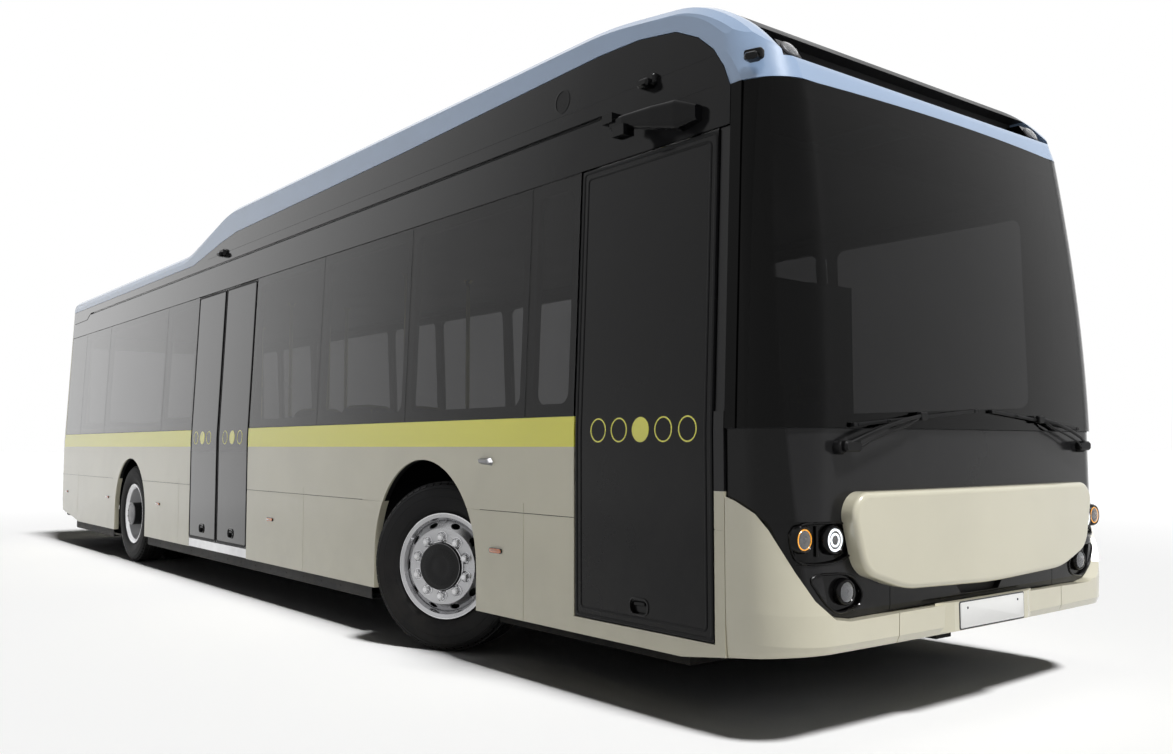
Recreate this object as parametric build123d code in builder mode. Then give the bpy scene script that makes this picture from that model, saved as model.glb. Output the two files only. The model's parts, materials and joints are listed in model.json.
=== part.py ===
"""City bus, 12 m, low floor, electric: body panels, doors, steered front wheels and twin rear wheels.

Millimetres. +X is forward, +Y is the driver's left, +Z is up. The origin is on the ground, midway
along the length and the width. The front wheels stand turned to the left by steer_rest degrees.
"""

from build123d import *
import math
import os

os.makedirs("parts", exist_ok=True)

# ---------------------------------------------------------------- driving sizes
# body
length = 12000.0
body_half = 1275.0          # half of the width up to the belt
sill_z = 292.0              # lower edge of the side panels
belt_z = 1245.0             # above this the sides lean inwards
side_lean = 0.0434          # inward mm per mm of height above the belt
window_low = 1320.0         # lower edge of the window band
window_high = 2522.0        # upper edge of the window band and of the doors
panel_seam_z = 835.0        # seam between skirt and belt panels
wall = 45.0                 # side wall and door thickness
glass = 8.0                 # side and rear panes
screen_glass = 12.0         # windscreen
panel_wall = 40.0           # upper side panels, nose panels, roof edge
pane_seat = 10.0            # how deep the panes sit in the wall
seam = 4.0                  # open joint between panels
door_gap = 12.0             # free edge of a swinging leaf
ease = 0.3                  # gap between pieces that seat on each other

# ends
nose_x = length / 2
tail_x = -length / 2
cab_joint_x = 5546.0        # where the side walls meet the nose
tail_joint_x = -5780.0      # where the side walls meet the tail

# roof
cove_z = 2850.0             # top of the side panels over the rear
low_roof_z = 2990.0
high_roof_z = 3232.0
roof_wall = 40.0
roof_round = 95.0           # radius of the long upper edges
roof_foot_z = 2700.0

# running gear
tyre_radius = 487.0
tyre_width = 274.0
bead_radius = 287.0
rim_lip_radius = 302.0
rim_half_width = 118.0
front_axle_x = 3125.0
rear_axle_x = -2890.0
kingpin_y = 975.0
wheel_offset = 148.0        # from the kingpin to the middle of the front tyre
steer_rest = 27.0
twin_outer_y = 1115.0       # middle of the outer rear tyre
twin_spacing = 311.0
bolt_circle = 335.0
bolt_count = 10

# floor and frame
floor_top = 370.0
floor_plate = 40.0
frame_low = 222.0
house_inner_y = 612.0       # inner wall of the wheel houses
house_top = 1135.0
house_plate = 18.0

# arches: name, middle x, radius, axle x, half length of the wheel house
ARCHES = (
    ("front", 3097.0, 590.0, front_axle_x, 580.0),
    ("rear", -2914.0, 546.0, rear_axle_x, 560.0),
)
arch_centre_z = 507.0

# doors in the right wall: name, rear edge, front edge
front_door_x = (4548.0, 5485.0)
mid_door_x = (-1042.0, 337.0)
door_low = 369.0

SIDES = (("left", 1), ("right", -1))

# window bays: rear edge, front edge of each pane
RIGHT_BAYS = (
    (-5770.0, -5062.0), (-5058.0, -4002.0), (-3998.0, -1936.0), (-1932.0, -1050.0),
    (345.0, 1600.0), (1604.0, 2864.0), (2868.0, 4128.0), (4132.0, 4540.0),
)
LEFT_BAYS = (
    (-5770.0, -5062.0), (-5058.0, -4002.0), (-3998.0, -1936.0), (-1932.0, -900.0),
    (-896.0, 350.0), (354.0, 1600.0), (1604.0, 2864.0), (2868.0, 4128.0), (4132.0, 5540.0),
)
bay_margin = 55.0           # pillar that a pane hides on each side
bay_low = 1385.0
bay_high = 2455.0


def half_width(z):
    """Half of the body's width at a height."""
    return body_half - max(0.0, z - belt_z) * side_lean


# lower edge of the body, from the tail to the nose
SILL_LINE = (
    (-6200, 450), (-5866, 402), (-5261, 330), (-4997, sill_z), (5286, sill_z),
    (5488, 318), (5800, 356), (6200, 400),
)

# lower edge of the roof edge panel: rises over the cab, runs back, drops behind the mid door
COVE_LINE = (
    (5790, 2700), (5535, 2700), (5500, 2790), (5440, 2880), (5342, 2963), (5196, 3035),
    (4945, 3076), (4649, 3085), (2628, 3037), (-234, 2998), (-593, 2958), (-1297, cove_z),
    (-6200, cove_z),
)

# outline of the roof seen from the side: x, height, corner radius
ROOF_LINE = (
    (5772, 2700, 0), (5742, 2795, 110), (5560, 3000, 900), (5300, 3150, 700), (4700, high_roof_z, 2500),
    (-420, high_roof_z, 1500), (-1480, low_roof_z, 1500), (-5780, low_roof_z, 150), (-5965, 2900, 60),
    (-5990, 2700, 0), (-5990, 2300, 0), (5772, 2300, 0),
)

# the nose, from below to above: height, half width, corner radius, front x at the corner, crown
straight_z = 520.0          # below this the ends of the body draw in
LOW_NOSE = (
    (290, 1262, 205, 5842, 24),
    (straight_z, body_half, 215, 5886, 28),
    (belt_z, body_half, 245, 5893, 36),
)
# the bumper stands proud of the nose at the front
BUMPER_NOSE = (
    (290, 1262, 225, 5868, 24),
    (400, 1270, 245, 5918, 28),
    (straight_z, body_half, 245, 5921, 28),
    (belt_z, body_half, 245, 5893, 36),
)
SCREEN_NOSE = (
    (belt_z, half_width(belt_z), 245, 5893, 40),
    (1730, half_width(1730), 243, 5879, 40),
    (2215, half_width(2215), 238, 5838, 40),
    (2700, half_width(2700), 228, 5775, 40),
)
TOP_NOSE = (
    (2700, half_width(2700), 228, 5775, 40),
    (3260, half_width(3260), 228, 5610, 40),
)
LOW_TAIL = (
    (290, 1262, 150, 5960, 18),
    (straight_z, body_half, 170, 5982, 18),
    (belt_z, body_half, 175, 5982, 18),
)
HIGH_TAIL = (
    (belt_z, half_width(belt_z), 175, 5982, 18),
    (cove_z, half_width(cove_z), 160, 5945, 18),
)
TOP_TAIL = (
    (2700, half_width(2700), 162, 5948, 18),
    (3260, half_width(3260), 150, 5935, 18),
)


# ---------------------------------------------------------------- shared shapes
def nose_block(levels, inset=0.0, back=cab_joint_x, ruled=True):
    """Solid inside the rounded plan of an end of the bus, drawn in by inset."""
    with BuildPart() as block:
        for height, half, corner, front, crown in levels:
            half, corner, front = half - inset, corner - inset, front - inset
            knee = corner * (1 - math.sqrt(0.5))
            with BuildSketch(Plane.XY.offset(height)):
                with BuildLine():
                    Line((back, half), (back, -half))
                    Line((back, -half), (front - corner, -half))
                    ThreePointArc((front - corner, -half), (front - knee, -half + knee), (front, -half + corner))
                    ThreePointArc((front, -half + corner), (front + crown, 0), (front, half - corner))
                    ThreePointArc((front, half - corner), (front - knee, half - knee), (front - corner, half))
                    Line((front - corner, half), (back, half))
                make_face()
        loft(ruled=ruled)
    return block.part


def end_shell(levels, thick, inset=0.0, back=cab_joint_x, ruled=True):
    """Wall of an end of the bus: the block less the same block drawn in."""
    with BuildPart() as shell:
        add(nose_block(levels, inset, back, ruled))
        add(nose_block(levels, inset + thick, back - 100, ruled), mode=Mode.SUBTRACT)
    return shell.part


def side_prism(points, y_from, y_to):
    """Prism with an outline in the side view, between two places across the bus."""
    with BuildPart() as prism:
        with BuildSketch(Plane.XZ.offset(-y_from)):
            with BuildLine():
                Polyline(*points, close=True)
            make_face()
        extrude(amount=y_from - y_to)
    return prism.part


def above_sill():
    """Everything above the body's lower edge."""
    return side_prism(SILL_LINE + ((6200, 4000), (-6200, 4000)), -1400, 1400)


def above_cove(drop=0.0):
    """Everything above the lower edge of the roof edge panel."""
    points = tuple((x, z - drop) for x, z in COVE_LINE)
    return side_prism(points + ((-6200, 4000), (5790, 4000)), -1400, 1400)


def side_slab(side, low, high, outer, inner, rear, front):
    """Slab that follows one side of the body between two depths under its surface."""
    heights = [low] + [z for z in (belt_z,) if low < z < high] + [high]
    edge = [(side * (half_width(z) - outer), z) for z in heights]
    back = [(side * (half_width(z) - inner), z) for z in reversed(heights)]
    with BuildPart() as slab:
        with BuildSketch(Plane.YZ.offset(rear)):
            with BuildLine():
                Polyline(*edge, *back, close=True)
            make_face()
        extrude(amount=front - rear)
    return slab.part


def plan_box(x_from, x_to, y_from, y_to, z_from, z_to):
    """Box given by its limits."""
    with BuildPart() as box:
        with Locations(((x_from + x_to) / 2, (y_from + y_to) / 2, (z_from + z_to) / 2)):
            Box(x_to - x_from, y_to - y_from, z_to - z_from)
    return box.part


def arch_cutter(side):
    """Wheel openings of one side, right through the wall."""
    with BuildPart() as cutter:
        with BuildSketch(Plane.XZ.offset(-side * 1000)):
            for _, middle, radius, _, _ in ARCHES:
                with Locations((middle, arch_centre_z)):
                    Circle(radius)
                with Locations((middle, arch_centre_z / 2)):
                    Rectangle(2 * radius, arch_centre_z)
        extrude(amount=-side * 400)
    return cutter.part


def bay_cutter(side, bays):
    """Window holes of one side."""
    with BuildPart() as cutter:
        with BuildSketch(Plane.XZ.offset(-side * 1000)):
            for rear, front in bays:
                with Locations(((rear + front) / 2, (bay_low + bay_high) / 2)):
                    RectangleRounded(front - rear - 2 * bay_margin, bay_high - bay_low, 60)
        extrude(amount=-side * 400)
    return cutter.part


def rounded_face(corners):
    """Face from a closed run of corners, each given as across, up and corner radius."""
    with BuildSketch() as face:
        with BuildLine():
            Polyline(*((across, up) for across, up, _ in corners), close=True)
        make_face()
        for across, up, radius in corners:
            if radius:
                corner = min(face.vertices(), key=lambda place: math.hypot(place.X - across, place.Y - up))
                fillet(corner, radius)
    return face.sketch


def both_sides(corners):
    """A run of corners on one side of the middle, carried round to the other side."""
    return tuple(corners) + tuple((-across, up, radius) for across, up, radius in reversed(corners))


def export(piece, name):
    """Label one piece and write it to its own file."""
    piece.label = name
    export_step(piece, f"parts/{name}.step")


# ---------------------------------------------------------------- side walls
panel_grooves = (-5060.0, -1340.0, 1420.0, 4130.0)

for name, side in SIDES:
    bays = RIGHT_BAYS if side < 0 else LEFT_BAYS
    with BuildPart() as side_wall:
        add(side_slab(side, 250, window_low, 0, wall, tail_joint_x, cab_joint_x - seam))
        add(side_slab(side, window_low, window_high, pane_seat, wall, tail_joint_x, cab_joint_x - seam))
        add(arch_cutter(side), mode=Mode.SUBTRACT)
        add(bay_cutter(side, bays), mode=Mode.SUBTRACT)
        if side < 0:
            add(plan_box(*front_door_x, -1400, -1000, door_low, 2600), mode=Mode.SUBTRACT)
            add(plan_box(*mid_door_x, -1400, -1000, 200, 2600), mode=Mode.SUBTRACT)
        # seams between the panels, as shallow grooves
        with BuildSketch(Plane.XZ.offset(-side * (body_half - 3))):
            with Locations((0, panel_seam_z)):
                Rectangle(length, seam)
            for x in panel_grooves:
                with Locations((x, (sill_z + panel_seam_z) / 2)):
                    Rectangle(seam, panel_seam_z - sill_z + 100)
        extrude(amount=-side * 20, mode=Mode.SUBTRACT)
        add(above_sill(), mode=Mode.INTERSECT)
    export(side_wall.part, f"{name}_wall")

    with BuildPart() as upper_panel:
        add(side_slab(side, window_high + seam, 3120, 0, panel_wall, tail_joint_x, cab_joint_x - seam))
        add(above_cove(seam), mode=Mode.SUBTRACT)
        # long gutter groove over the windows
        with BuildSketch(Plane.XZ.offset(-side * 1190)):
            with Locations((-115, 2766)):
                SlotOverall(9770, 16)
        extrude(amount=-side * 100, mode=Mode.SUBTRACT)
    export(upper_panel.part, f"{name}_upper_panel")

with BuildPart() as side_windows:
    for side, bays in ((1, LEFT_BAYS), (-1, RIGHT_BAYS)):
        for rear, front in bays:
            add(side_slab(side, window_low + 2, window_high - 2, pane_seat - glass - ease, pane_seat - ease, rear, front))
export(side_windows.part, "side_windows")

# ---------------------------------------------------------------- doors
leaf_window_low = 560.0
leaf_window_high = 2440.0
leaf_border = 75.0           # from a leaf's edge to its window
leaf_gap = 6.0               # over and under a leaf, and at its hinged edge
post_y = -1178.0
post_inset = 14.0           # from the leaf's hinged edge to the middle of its post
post_radius = 16.0


def door_leaf(rear, front, post_x):
    """One leaf as thick as the wall, its pane set in, on the post that it turns with."""
    with BuildPart() as leaf:
        add(side_slab(-1, door_low + leaf_gap, window_high - leaf_gap, 0, wall - 5, rear, front))
        with BuildSketch(Plane.XZ.offset(1000)):
            with Locations(((rear + front) / 2, (leaf_window_low + leaf_window_high) / 2)):
                RectangleRounded(front - rear - 2 * leaf_border, leaf_window_high - leaf_window_low, 40)
        extrude(amount=400, mode=Mode.SUBTRACT)
        add(side_slab(-1, leaf_window_low - 1, leaf_window_high + 1, 0, glass, rear + leaf_border - 1, front - leaf_border + 1))
        with BuildSketch(Plane.XZ.offset(body_half - 14)):
            with Locations(((rear + front) / 2, 462)):
                RectangleRounded(110, 62, 28)
        extrude(amount=60, mode=Mode.SUBTRACT)
        with BuildSketch(Plane.XY.offset(floor_top + ease)):
            with Locations((post_x, post_y)):
                Circle(post_radius)
        extrude(amount=window_high - floor_top - ease)
        for height in (560.0, 1300.0, 2300.0):
            add(plan_box(post_x - 12, post_x + 12, -half_width(height) + wall - 8, post_y, height, height + 50))
    return leaf.part


mid_split_x = (mid_door_x[0] + mid_door_x[1]) / 2
DOOR_LEAVES = (
    # name, rear edge, front edge, 1 where the post stands at the front edge
    ("front_door", front_door_x[0] + door_gap, front_door_x[1] - leaf_gap, 1),
    ("mid_door_front_leaf", mid_split_x + door_gap, mid_door_x[1] - leaf_gap, 1),
    ("mid_door_rear_leaf", mid_door_x[0] + leaf_gap, mid_split_x - door_gap, 0),
)
for name, rear, front, post_at_front in DOOR_LEAVES:
    post_x = front - post_inset if post_at_front else rear + post_inset
    with BuildPart() as leaf:
        add(door_leaf(rear, front, post_x))
    export(leaf.part, name)

with BuildPart() as door_sill:
    add(plan_box(mid_door_x[0] + ease, mid_door_x[1] - ease, -body_half + 2, -body_half + wall, sill_z + 4, door_low - 2))
export(door_sill.part, "door_sill")

# ---------------------------------------------------------------- nose
corner_cut = (
    # distance along the diagonal, height: the joint between bumper and black panel
    (2900, 992), (2978, 992), (3061, 956), (3136, 909), (3185, 849), (3286, 686), (3362, 576),
    (3445, 500), (3510, 486), (3742, 492), (4300, 500),
)


def bumper_region(lift=0.0):
    """Space below the joint that sweeps from the cab joint down round the corner, both sides."""
    diagonal = Plane(origin=(0, 0, 0), x_dir=(1, 1, 0), z_dir=(1, -1, 0))
    outline = tuple((t, z + lift) for t, z in corner_cut) + ((4300, 200), (2900, 200))
    with BuildPart() as region:
        with BuildSketch(diagonal):
            with BuildLine():
                Polyline(*outline, close=True)
            make_face()
        extrude(amount=6000)
        add(plan_box(5000, 6100, -1400, 0, 0, 1400), mode=Mode.INTERSECT)
        mirror(about=Plane.XZ)
    return region.part


front_joint_y = 661.0        # upright joints in the bumper and the black panel
groove = 20.0                # depth of those joints
bumper_face_x = 5949.0
PLINTH = (
    # x, across from the middle: half of the number plate's plinth seen from above
    (bumper_face_x - 22, 392), (bumper_face_x + 12, 300),
)
plinth_low = 380.0
plinth_high = 504.0

with BuildPart() as front_bumper:
    add(nose_block(BUMPER_NOSE))
    add(nose_block(LOW_NOSE, panel_wall, cab_joint_x - 100), mode=Mode.SUBTRACT)
    add(bumper_region(), mode=Mode.INTERSECT)
    add(above_sill(), mode=Mode.INTERSECT)
    # upright joints, as shallow grooves in the outer face
    with BuildSketch(Plane.YZ.offset(5937 - groove)):
        for y in (front_joint_y, -front_joint_y):
            with Locations((y, 400)):
                Rectangle(seam, 300)
    extrude(amount=100, mode=Mode.SUBTRACT)
    # plinth under the number plate, with sloping flanks
    with BuildSketch(Plane.XY.offset(plinth_low)):
        with BuildLine():
            Polyline(*PLINTH, *((x, -y) for x, y in reversed(PLINTH)), close=True)
        make_face()
    extrude(amount=plinth_high - plinth_low)
export(front_bumper.part, "front_bumper")

lamp_outline = (
    # across from the middle, height: housing of the head lamps on one side
    (858, 866), (811, 759), (892, 748), (982, 714), (1177, 712), (1215, 740), (1262, 884),
)
fog_outline = ((1075, 669), (900, 660), (828, 587), (854, 530), (988, 512), (1040, 540))


def face_prism(points, x_from, x_to):
    """Prism along the bus with an outline in the front view, on both sides of the middle."""
    with BuildPart() as prism:
        for flip in (1, -1):
            with BuildSketch(Plane.YZ.offset(x_from)):
                with BuildLine():
                    Polyline(*((flip * y, z) for y, z in points), close=True)
                make_face()
        extrude(amount=x_to - x_from)
    return prism.part


pivot_radius = 24.0
pivot_root_x = 5864.0
wiper_y = 979.0
wiper_z = 1171.0
INTAKE = ((150, 522), (188, 562))
with BuildPart() as front_panel:
    add(end_shell(LOW_NOSE, 28, inset=12))
    with BuildSketch(Plane.YZ.offset(5700)):
        with Locations((wiper_y, wiper_z), (-wiper_y, wiper_z)):
            Circle(pivot_radius + ease)
        with BuildLine():
            Polyline(*INTAKE, *((-y, z) for y, z in reversed(INTAKE)), close=True)
        make_face()
    extrude(amount=400, mode=Mode.SUBTRACT)
    # upright joints under the mask, as shallow grooves
    with BuildSketch(Plane.YZ.offset(5892 - groove / 2)):
        for y in (front_joint_y, -front_joint_y):
            with Locations((y, 560)):
                Rectangle(seam, 200)
    extrude(amount=60, mode=Mode.SUBTRACT)
    add(bumper_region(seam), mode=Mode.SUBTRACT)
    add(face_prism(lamp_outline, 5600, 6000), mode=Mode.SUBTRACT)
    add(face_prism(fog_outline, 5700, 6000), mode=Mode.SUBTRACT)
    add(plan_box(5000, 6000, -1400, 1400, 200, 460), mode=Mode.SUBTRACT)
export(front_panel.part, "front_panel")

LAMP_BARRELS = (
    # across from the middle, height, radius, front face: inner and outer head lamp, fog lamp
    (1014, 805, 46, 5890), (1165, 812, 42, 5862), (945, 596, 40, 5890),
)
lamp_depth = 26.0


def lamp_housing(outline):
    """Dished plate that fills one opening of the front panel on both sides."""
    with BuildPart() as housing:
        add(end_shell(LOW_NOSE, 16, inset=24))
        add(face_prism(outline, 5600, 6000), mode=Mode.INTERSECT)
        add(bumper_region(seam), mode=Mode.SUBTRACT)
    return housing.part


with BuildPart() as headlamps:
    add(lamp_housing(lamp_outline))
    add(lamp_housing(fog_outline))
    for across, height, radius, face in LAMP_BARRELS:
        with BuildSketch(Plane.YZ.offset(face - lamp_depth)):
            with Locations((across, height), (-across, height)):
                Circle(radius)
        extrude(amount=lamp_depth)
export(headlamps.part, "headlamps")

mask_proud = 60.0            # how far the mask stands out of the nose
mask_edge = 24.0
MASK = (
    # across from the middle, height, corner radius: one side, from the middle of the lower edge
    (640, 587, 600), (898, 668, 130), (991, 993, 95),
)
with BuildPart() as front_mask:
    add(end_shell(LOW_NOSE, mask_proud + 12 - ease, inset=-mask_proud))
    with BuildSketch(Plane.YZ.offset(5750)):
        add(rounded_face(((0, 568, 4000),) + both_sides(MASK)))
    extrude(amount=400, mode=Mode.INTERSECT)
    rim = front_mask.faces().sort_by(Axis.X)[-1].edges()
    fillet(rim, mask_edge)
export(front_mask.part, "front_mask")

screen_rear_x = 5672.0       # where the windscreen ends, round the corner
post_step_x = 5605.0         # where the flush part of the corner post ends
post_drop = 6.0              # how deep the rest of the post lies

with BuildPart() as windscreen:
    add(end_shell(SCREEN_NOSE, screen_glass, ruled=False))
    add(plan_box(screen_rear_x, 6100, -1400, 1400, belt_z + seam, roof_foot_z - seam), mode=Mode.INTERSECT)
export(windscreen.part, "windscreen")

with BuildPart() as corner_posts:
    add(end_shell(SCREEN_NOSE, screen_glass - post_drop, inset=post_drop, ruled=False))
    add(plan_box(cab_joint_x, screen_rear_x - seam, -1400, 1400, belt_z + seam, roof_foot_z - seam), mode=Mode.INTERSECT)
    for low, high in ((-1400, 0), (0, 1400)):
        add(side_slab(1 if high else -1, belt_z + seam, roof_foot_z - seam, 0, screen_glass, cab_joint_x, post_step_x))
export(corner_posts.part, "corner_posts")

frame_wall = 25.0
pillar_front_x = 5640.0
pillar_inner = panel_wall + ease + frame_wall
with BuildPart() as cab_frame:
    # bulkhead behind the front panel and the bumper
    add(end_shell(LOW_NOSE, frame_wall, inset=panel_wall + ease))
    add(plan_box(5000, 6100, -1400, 1400, 430, belt_z), mode=Mode.INTERSECT)
    # window frame behind the edges of the windscreen
    add(end_shell(SCREEN_NOSE, panel_wall + ease + frame_wall - screen_glass - ease, inset=screen_glass + ease))
    with BuildSketch(Plane.YZ.offset(5000)):
        with Locations((0, (1300 + 2610) / 2)):
            RectangleRounded(2400, 2610 - 1300, 60)
    extrude(amount=1200, mode=Mode.SUBTRACT)
    # pillars that stand between the windscreen and the side walls
    for side in (1, -1):
        add(side_slab(side, straight_z, 2700, panel_wall + ease, pillar_inner, cab_joint_x - seam + ease, pillar_front_x))
export(cab_frame.part, "cab_frame")

# wipers: pivots low at the outer ends, arms up to the middle of the blades
arm_x = 5940.0
WIPER = (
    # across, height: pivot end, knee and tip of an arm, then the two ends of its blade
    (990, 1168), (760, 1252), (500, 1300), (905, 1262), (70, 1334),
)


def flat_bar(start, end, half_start, half_end, x, thick):
    """Tapering flat bar across the front, between two places given as across and height."""
    along = Vector(end[0] - start[0], end[1] - start[1], 0).normalized()
    normal = Vector(-along.Y, along.X, 0)
    first, last = Vector(*start), Vector(*end)
    corners = (first + normal * half_start, last + normal * half_end, last - normal * half_end, first - normal * half_start)
    with BuildPart() as bar:
        with BuildSketch(Plane.YZ.offset(x)):
            with BuildLine():
                Polyline(*((place.X, place.Y) for place in corners), close=True)
            make_face()
        extrude(amount=thick)
    return bar.part


with BuildPart() as wipers:
    pivot, knee, tip, blade_low, blade_high = WIPER
    add(flat_bar(pivot, knee, 17, 12, arm_x, 16))
    add(flat_bar(knee, tip, 12, 8, arm_x + 2, 12))
    add(flat_bar(blade_low, blade_high, 7, 7, arm_x - 6, 18))
    with BuildSketch(Plane.YZ.offset(pivot_root_x)):
        with Locations((wiper_y, wiper_z)):
            Circle(pivot_radius)
    extrude(amount=arm_x + 18 - pivot_root_x)
    mirror(about=Plane.XZ)
export(wipers.part, "wipers")

# ---------------------------------------------------------------- roof


def roof_block(inset=0.0):
    """Roof volume above the side panels. Its long edges are rounded in steps that shrink the side outline."""
    radius = roof_round - inset
    reach = half_width(cove_z) - roof_round
    with BuildPart() as block:
        with BuildSketch(Plane.XZ.offset(-reach)):
            add(rounded_face(tuple((x - math.copysign(inset, x), z - inset, corner) for x, z, corner in ROOF_LINE)))
        extrude(amount=2 * reach)
        for turn, next_turn in ((0, 30), (30, 60), (60, 90)):
            out = radius * (math.sin(math.radians(next_turn)) - math.sin(math.radians(turn)))
            drop = radius * (math.cos(math.radians(turn)) - math.cos(math.radians(next_turn)))
            extrude(block.faces().sort_by(Axis.Y)[-1], amount=out, taper=math.degrees(math.atan(drop / out)))
        split(bisect_by=Plane.XZ, keep=Keep.BOTTOM)
        mirror(about=Plane.XZ)
        with BuildSketch(Plane.YZ.offset(-6100)):
            with BuildLine():
                foot = roof_foot_z - inset
                Polyline(
                    (half_width(foot) - inset, foot), (half_width(3300) - inset, 3300),
                    (-half_width(3300) + inset, 3300), (-half_width(foot) + inset, foot), close=True,
                )
            make_face()
        extrude(amount=12200, mode=Mode.INTERSECT)
        if not inset:
            add(nose_block(TOP_NOSE, back=-6200), mode=Mode.INTERSECT)
            mirror(nose_block(TOP_TAIL, back=-6200), about=Plane.YZ, mode=Mode.INTERSECT)
    return block.part


edge_strip = 112.0
lid_half = half_width(3100) - edge_strip
band_top = 2800.0
fairing_rear = -1490.0

with BuildPart() as roof_shell:
    add(roof_block())
    add(roof_block(roof_wall), mode=Mode.SUBTRACT)

with BuildPart() as roof_edge:
    add(roof_shell.part)
    add(above_cove(), mode=Mode.INTERSECT)
    add(plan_box(tail_joint_x - 60, 5850, -lid_half, lid_half, band_top, 3400), mode=Mode.SUBTRACT)
export(roof_edge.part, "roof_edge")

recess_top = 2968.0          # lip of the fairing over the recess behind the front band
recess_back_x = 5500.0
tray = 12.0
RECESS_LAMP_Y = 985.0

with BuildPart() as roof_fairing:
    add(roof_shell.part)
    add(plan_box(recess_back_x, 5850, -lid_half, lid_half, band_top, recess_top), mode=Mode.SUBTRACT)
    # bulkhead and tray of the recess
    add(plan_box(recess_back_x - tray, recess_back_x, -lid_half, lid_half, band_top, recess_top + 60))
    add(plan_box(recess_back_x - tray, 5712, -lid_half, lid_half, band_top, band_top + ease + tray))
    add(plan_box(fairing_rear, 5850, ease - lid_half, lid_half - ease, band_top + ease, 3400), mode=Mode.INTERSECT)
    add(roof_block(), mode=Mode.INTERSECT)
export(roof_fairing.part, "roof_fairing")

with BuildPart() as roof_lamps:
    # position lamps at both ends of the recess, leaning back like the band before them
    with BuildSketch(Plane.XZ.offset(-RECESS_LAMP_Y + 60)):
        with BuildLine():
            low = band_top + ease + tray + ease
            Polyline((5560, low), (5700, low), (5640, low + 92), (5560, low + 92), close=True)
        make_face()
    extrude(amount=-120)
    fillet(roof_lamps.edges().filter_by(Axis.Y).sort_by(Axis.X)[-2:], 12)
    mirror(about=Plane.XZ)
export(roof_lamps.part, "roof_lamps")

with BuildPart() as roof_panel:
    add(roof_shell.part)
    add(plan_box(tail_joint_x - 60 + ease, fairing_rear - ease, ease - lid_half, lid_half - ease, band_top + ease, 3400),
        mode=Mode.INTERSECT)
export(roof_panel.part, "roof_panel")

rail_inner = panel_wall + 35.0
rail_top = low_roof_z - roof_round - seam - ease
RAIL_SPANS = (
    # lower edge, upper edge, rear end, front end: the upper strip stops short of the rounded roof ends
    (window_high + ease, roof_foot_z - ease, tail_joint_x, cab_joint_x - seam),
    (roof_foot_z - 1, rail_top, tail_joint_x + 40, cab_joint_x - 100),
)
with BuildPart() as roof_frame:
    add(plan_box(tail_joint_x + 20, 5400, -1150, 1150, 2560, 2600))
    for side in (1, -1):
        for low, high, rear, front in RAIL_SPANS:
            add(side_slab(side, low, high, panel_wall + ease, rail_inner, rear, front))
export(roof_frame.part, "roof_frame")

# ---------------------------------------------------------------- tail


def tail_shell(levels, thick, inset=0.0):
    """Wall of the rear end."""
    with BuildPart() as shell:
        mirror(end_shell(levels, thick, inset, back=-tail_joint_x), about=Plane.YZ)
    return shell.part


rear_lid_box = (-900.0, 900.0, 620.0, 1180.0)
rear_window_box = (-960.0, 960.0, 1480.0, 2420.0)
bumper_top = 560.0
TAIL_LAMPS = (1350.0, 1240.0, 1130.0, 1020.0)
tail_lamp_radius = 44.0
lid_gap = 8.0
lid_hinge_x = tail_x - 14
lid_hinge_z = rear_lid_box[3] - lid_gap / 2
hinge_radius = 9.0
tail_lamp_y = 1045.0
HINGE_KNUCKLES = (
    # near and far ends across the bus, 1 on the lid and 0 on the panel
    (515.0, 560.0 - ease, 0), (560.0, 640.0, 1), (640.0 + ease, 685.0, 0),
)


def lid_knuckles(on_lid):
    """Barrels of the two lid hinges that sit on the lid or on the panel, each with its leaf."""
    leaf = 1 if not on_lid else -1
    with BuildPart() as knuckles:
        for near, far, carried in HINGE_KNUCKLES:
            if carried != on_lid:
                continue
            for side in (1, -1):
                low, high = sorted((side * near, side * far))
                with BuildSketch(Plane.XZ.offset(-low)):
                    with Locations((lid_hinge_x, lid_hinge_z)):
                        Circle(hinge_radius)
                extrude(amount=low - high)
                add(plan_box(lid_hinge_x, tail_x + 15, low, high,
                             *sorted((lid_hinge_z + leaf * lid_gap / 2, lid_hinge_z + leaf * (hinge_radius + 3)))))
                add(plan_box(tail_x - 6, tail_x + 15, low, high,
                             *sorted((lid_hinge_z + leaf * lid_gap / 2, lid_hinge_z + leaf * 64))))
    return knuckles.part


with BuildPart() as rear_panel:
    add(tail_shell(LOW_TAIL, wall))
    add(tail_shell(HIGH_TAIL, wall))
    add(plan_box(-6200, -5000, -1400, 1400, bumper_top + seam, cove_z - seam), mode=Mode.INTERSECT)
    add(plan_box(-6200, -5850, rear_lid_box[0], rear_lid_box[1], rear_lid_box[2], rear_lid_box[3]), mode=Mode.SUBTRACT)
    add(plan_box(-6200, -5850, rear_window_box[0], rear_window_box[1], rear_window_box[2], rear_window_box[3]),
        mode=Mode.SUBTRACT)
    with BuildSketch(Plane.YZ.offset(-5850)):
        for height in TAIL_LAMPS:
            with Locations((tail_lamp_y, height), (-tail_lamp_y, height)):
                Circle(tail_lamp_radius + ease)
    extrude(amount=-300, mode=Mode.SUBTRACT)
    add(lid_knuckles(0))
export(rear_panel.part, "rear_panel")

with BuildPart() as rear_bumper:
    add(tail_shell(LOW_TAIL, wall))
    add(plan_box(-6200, -5000, -1400, 1400, 200, bumper_top), mode=Mode.INTERSECT)
    add(above_sill(), mode=Mode.INTERSECT)
export(rear_bumper.part, "rear_bumper")

with BuildPart() as rear_lid:
    add(tail_shell(LOW_TAIL, 30))
    add(plan_box(-6200, -5850, rear_lid_box[0] + lid_gap, rear_lid_box[1] - lid_gap, rear_lid_box[2] + lid_gap,
                 rear_lid_box[3] - lid_gap), mode=Mode.INTERSECT)
    add(lid_knuckles(1))
export(rear_lid.part, "rear_lid")

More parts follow.
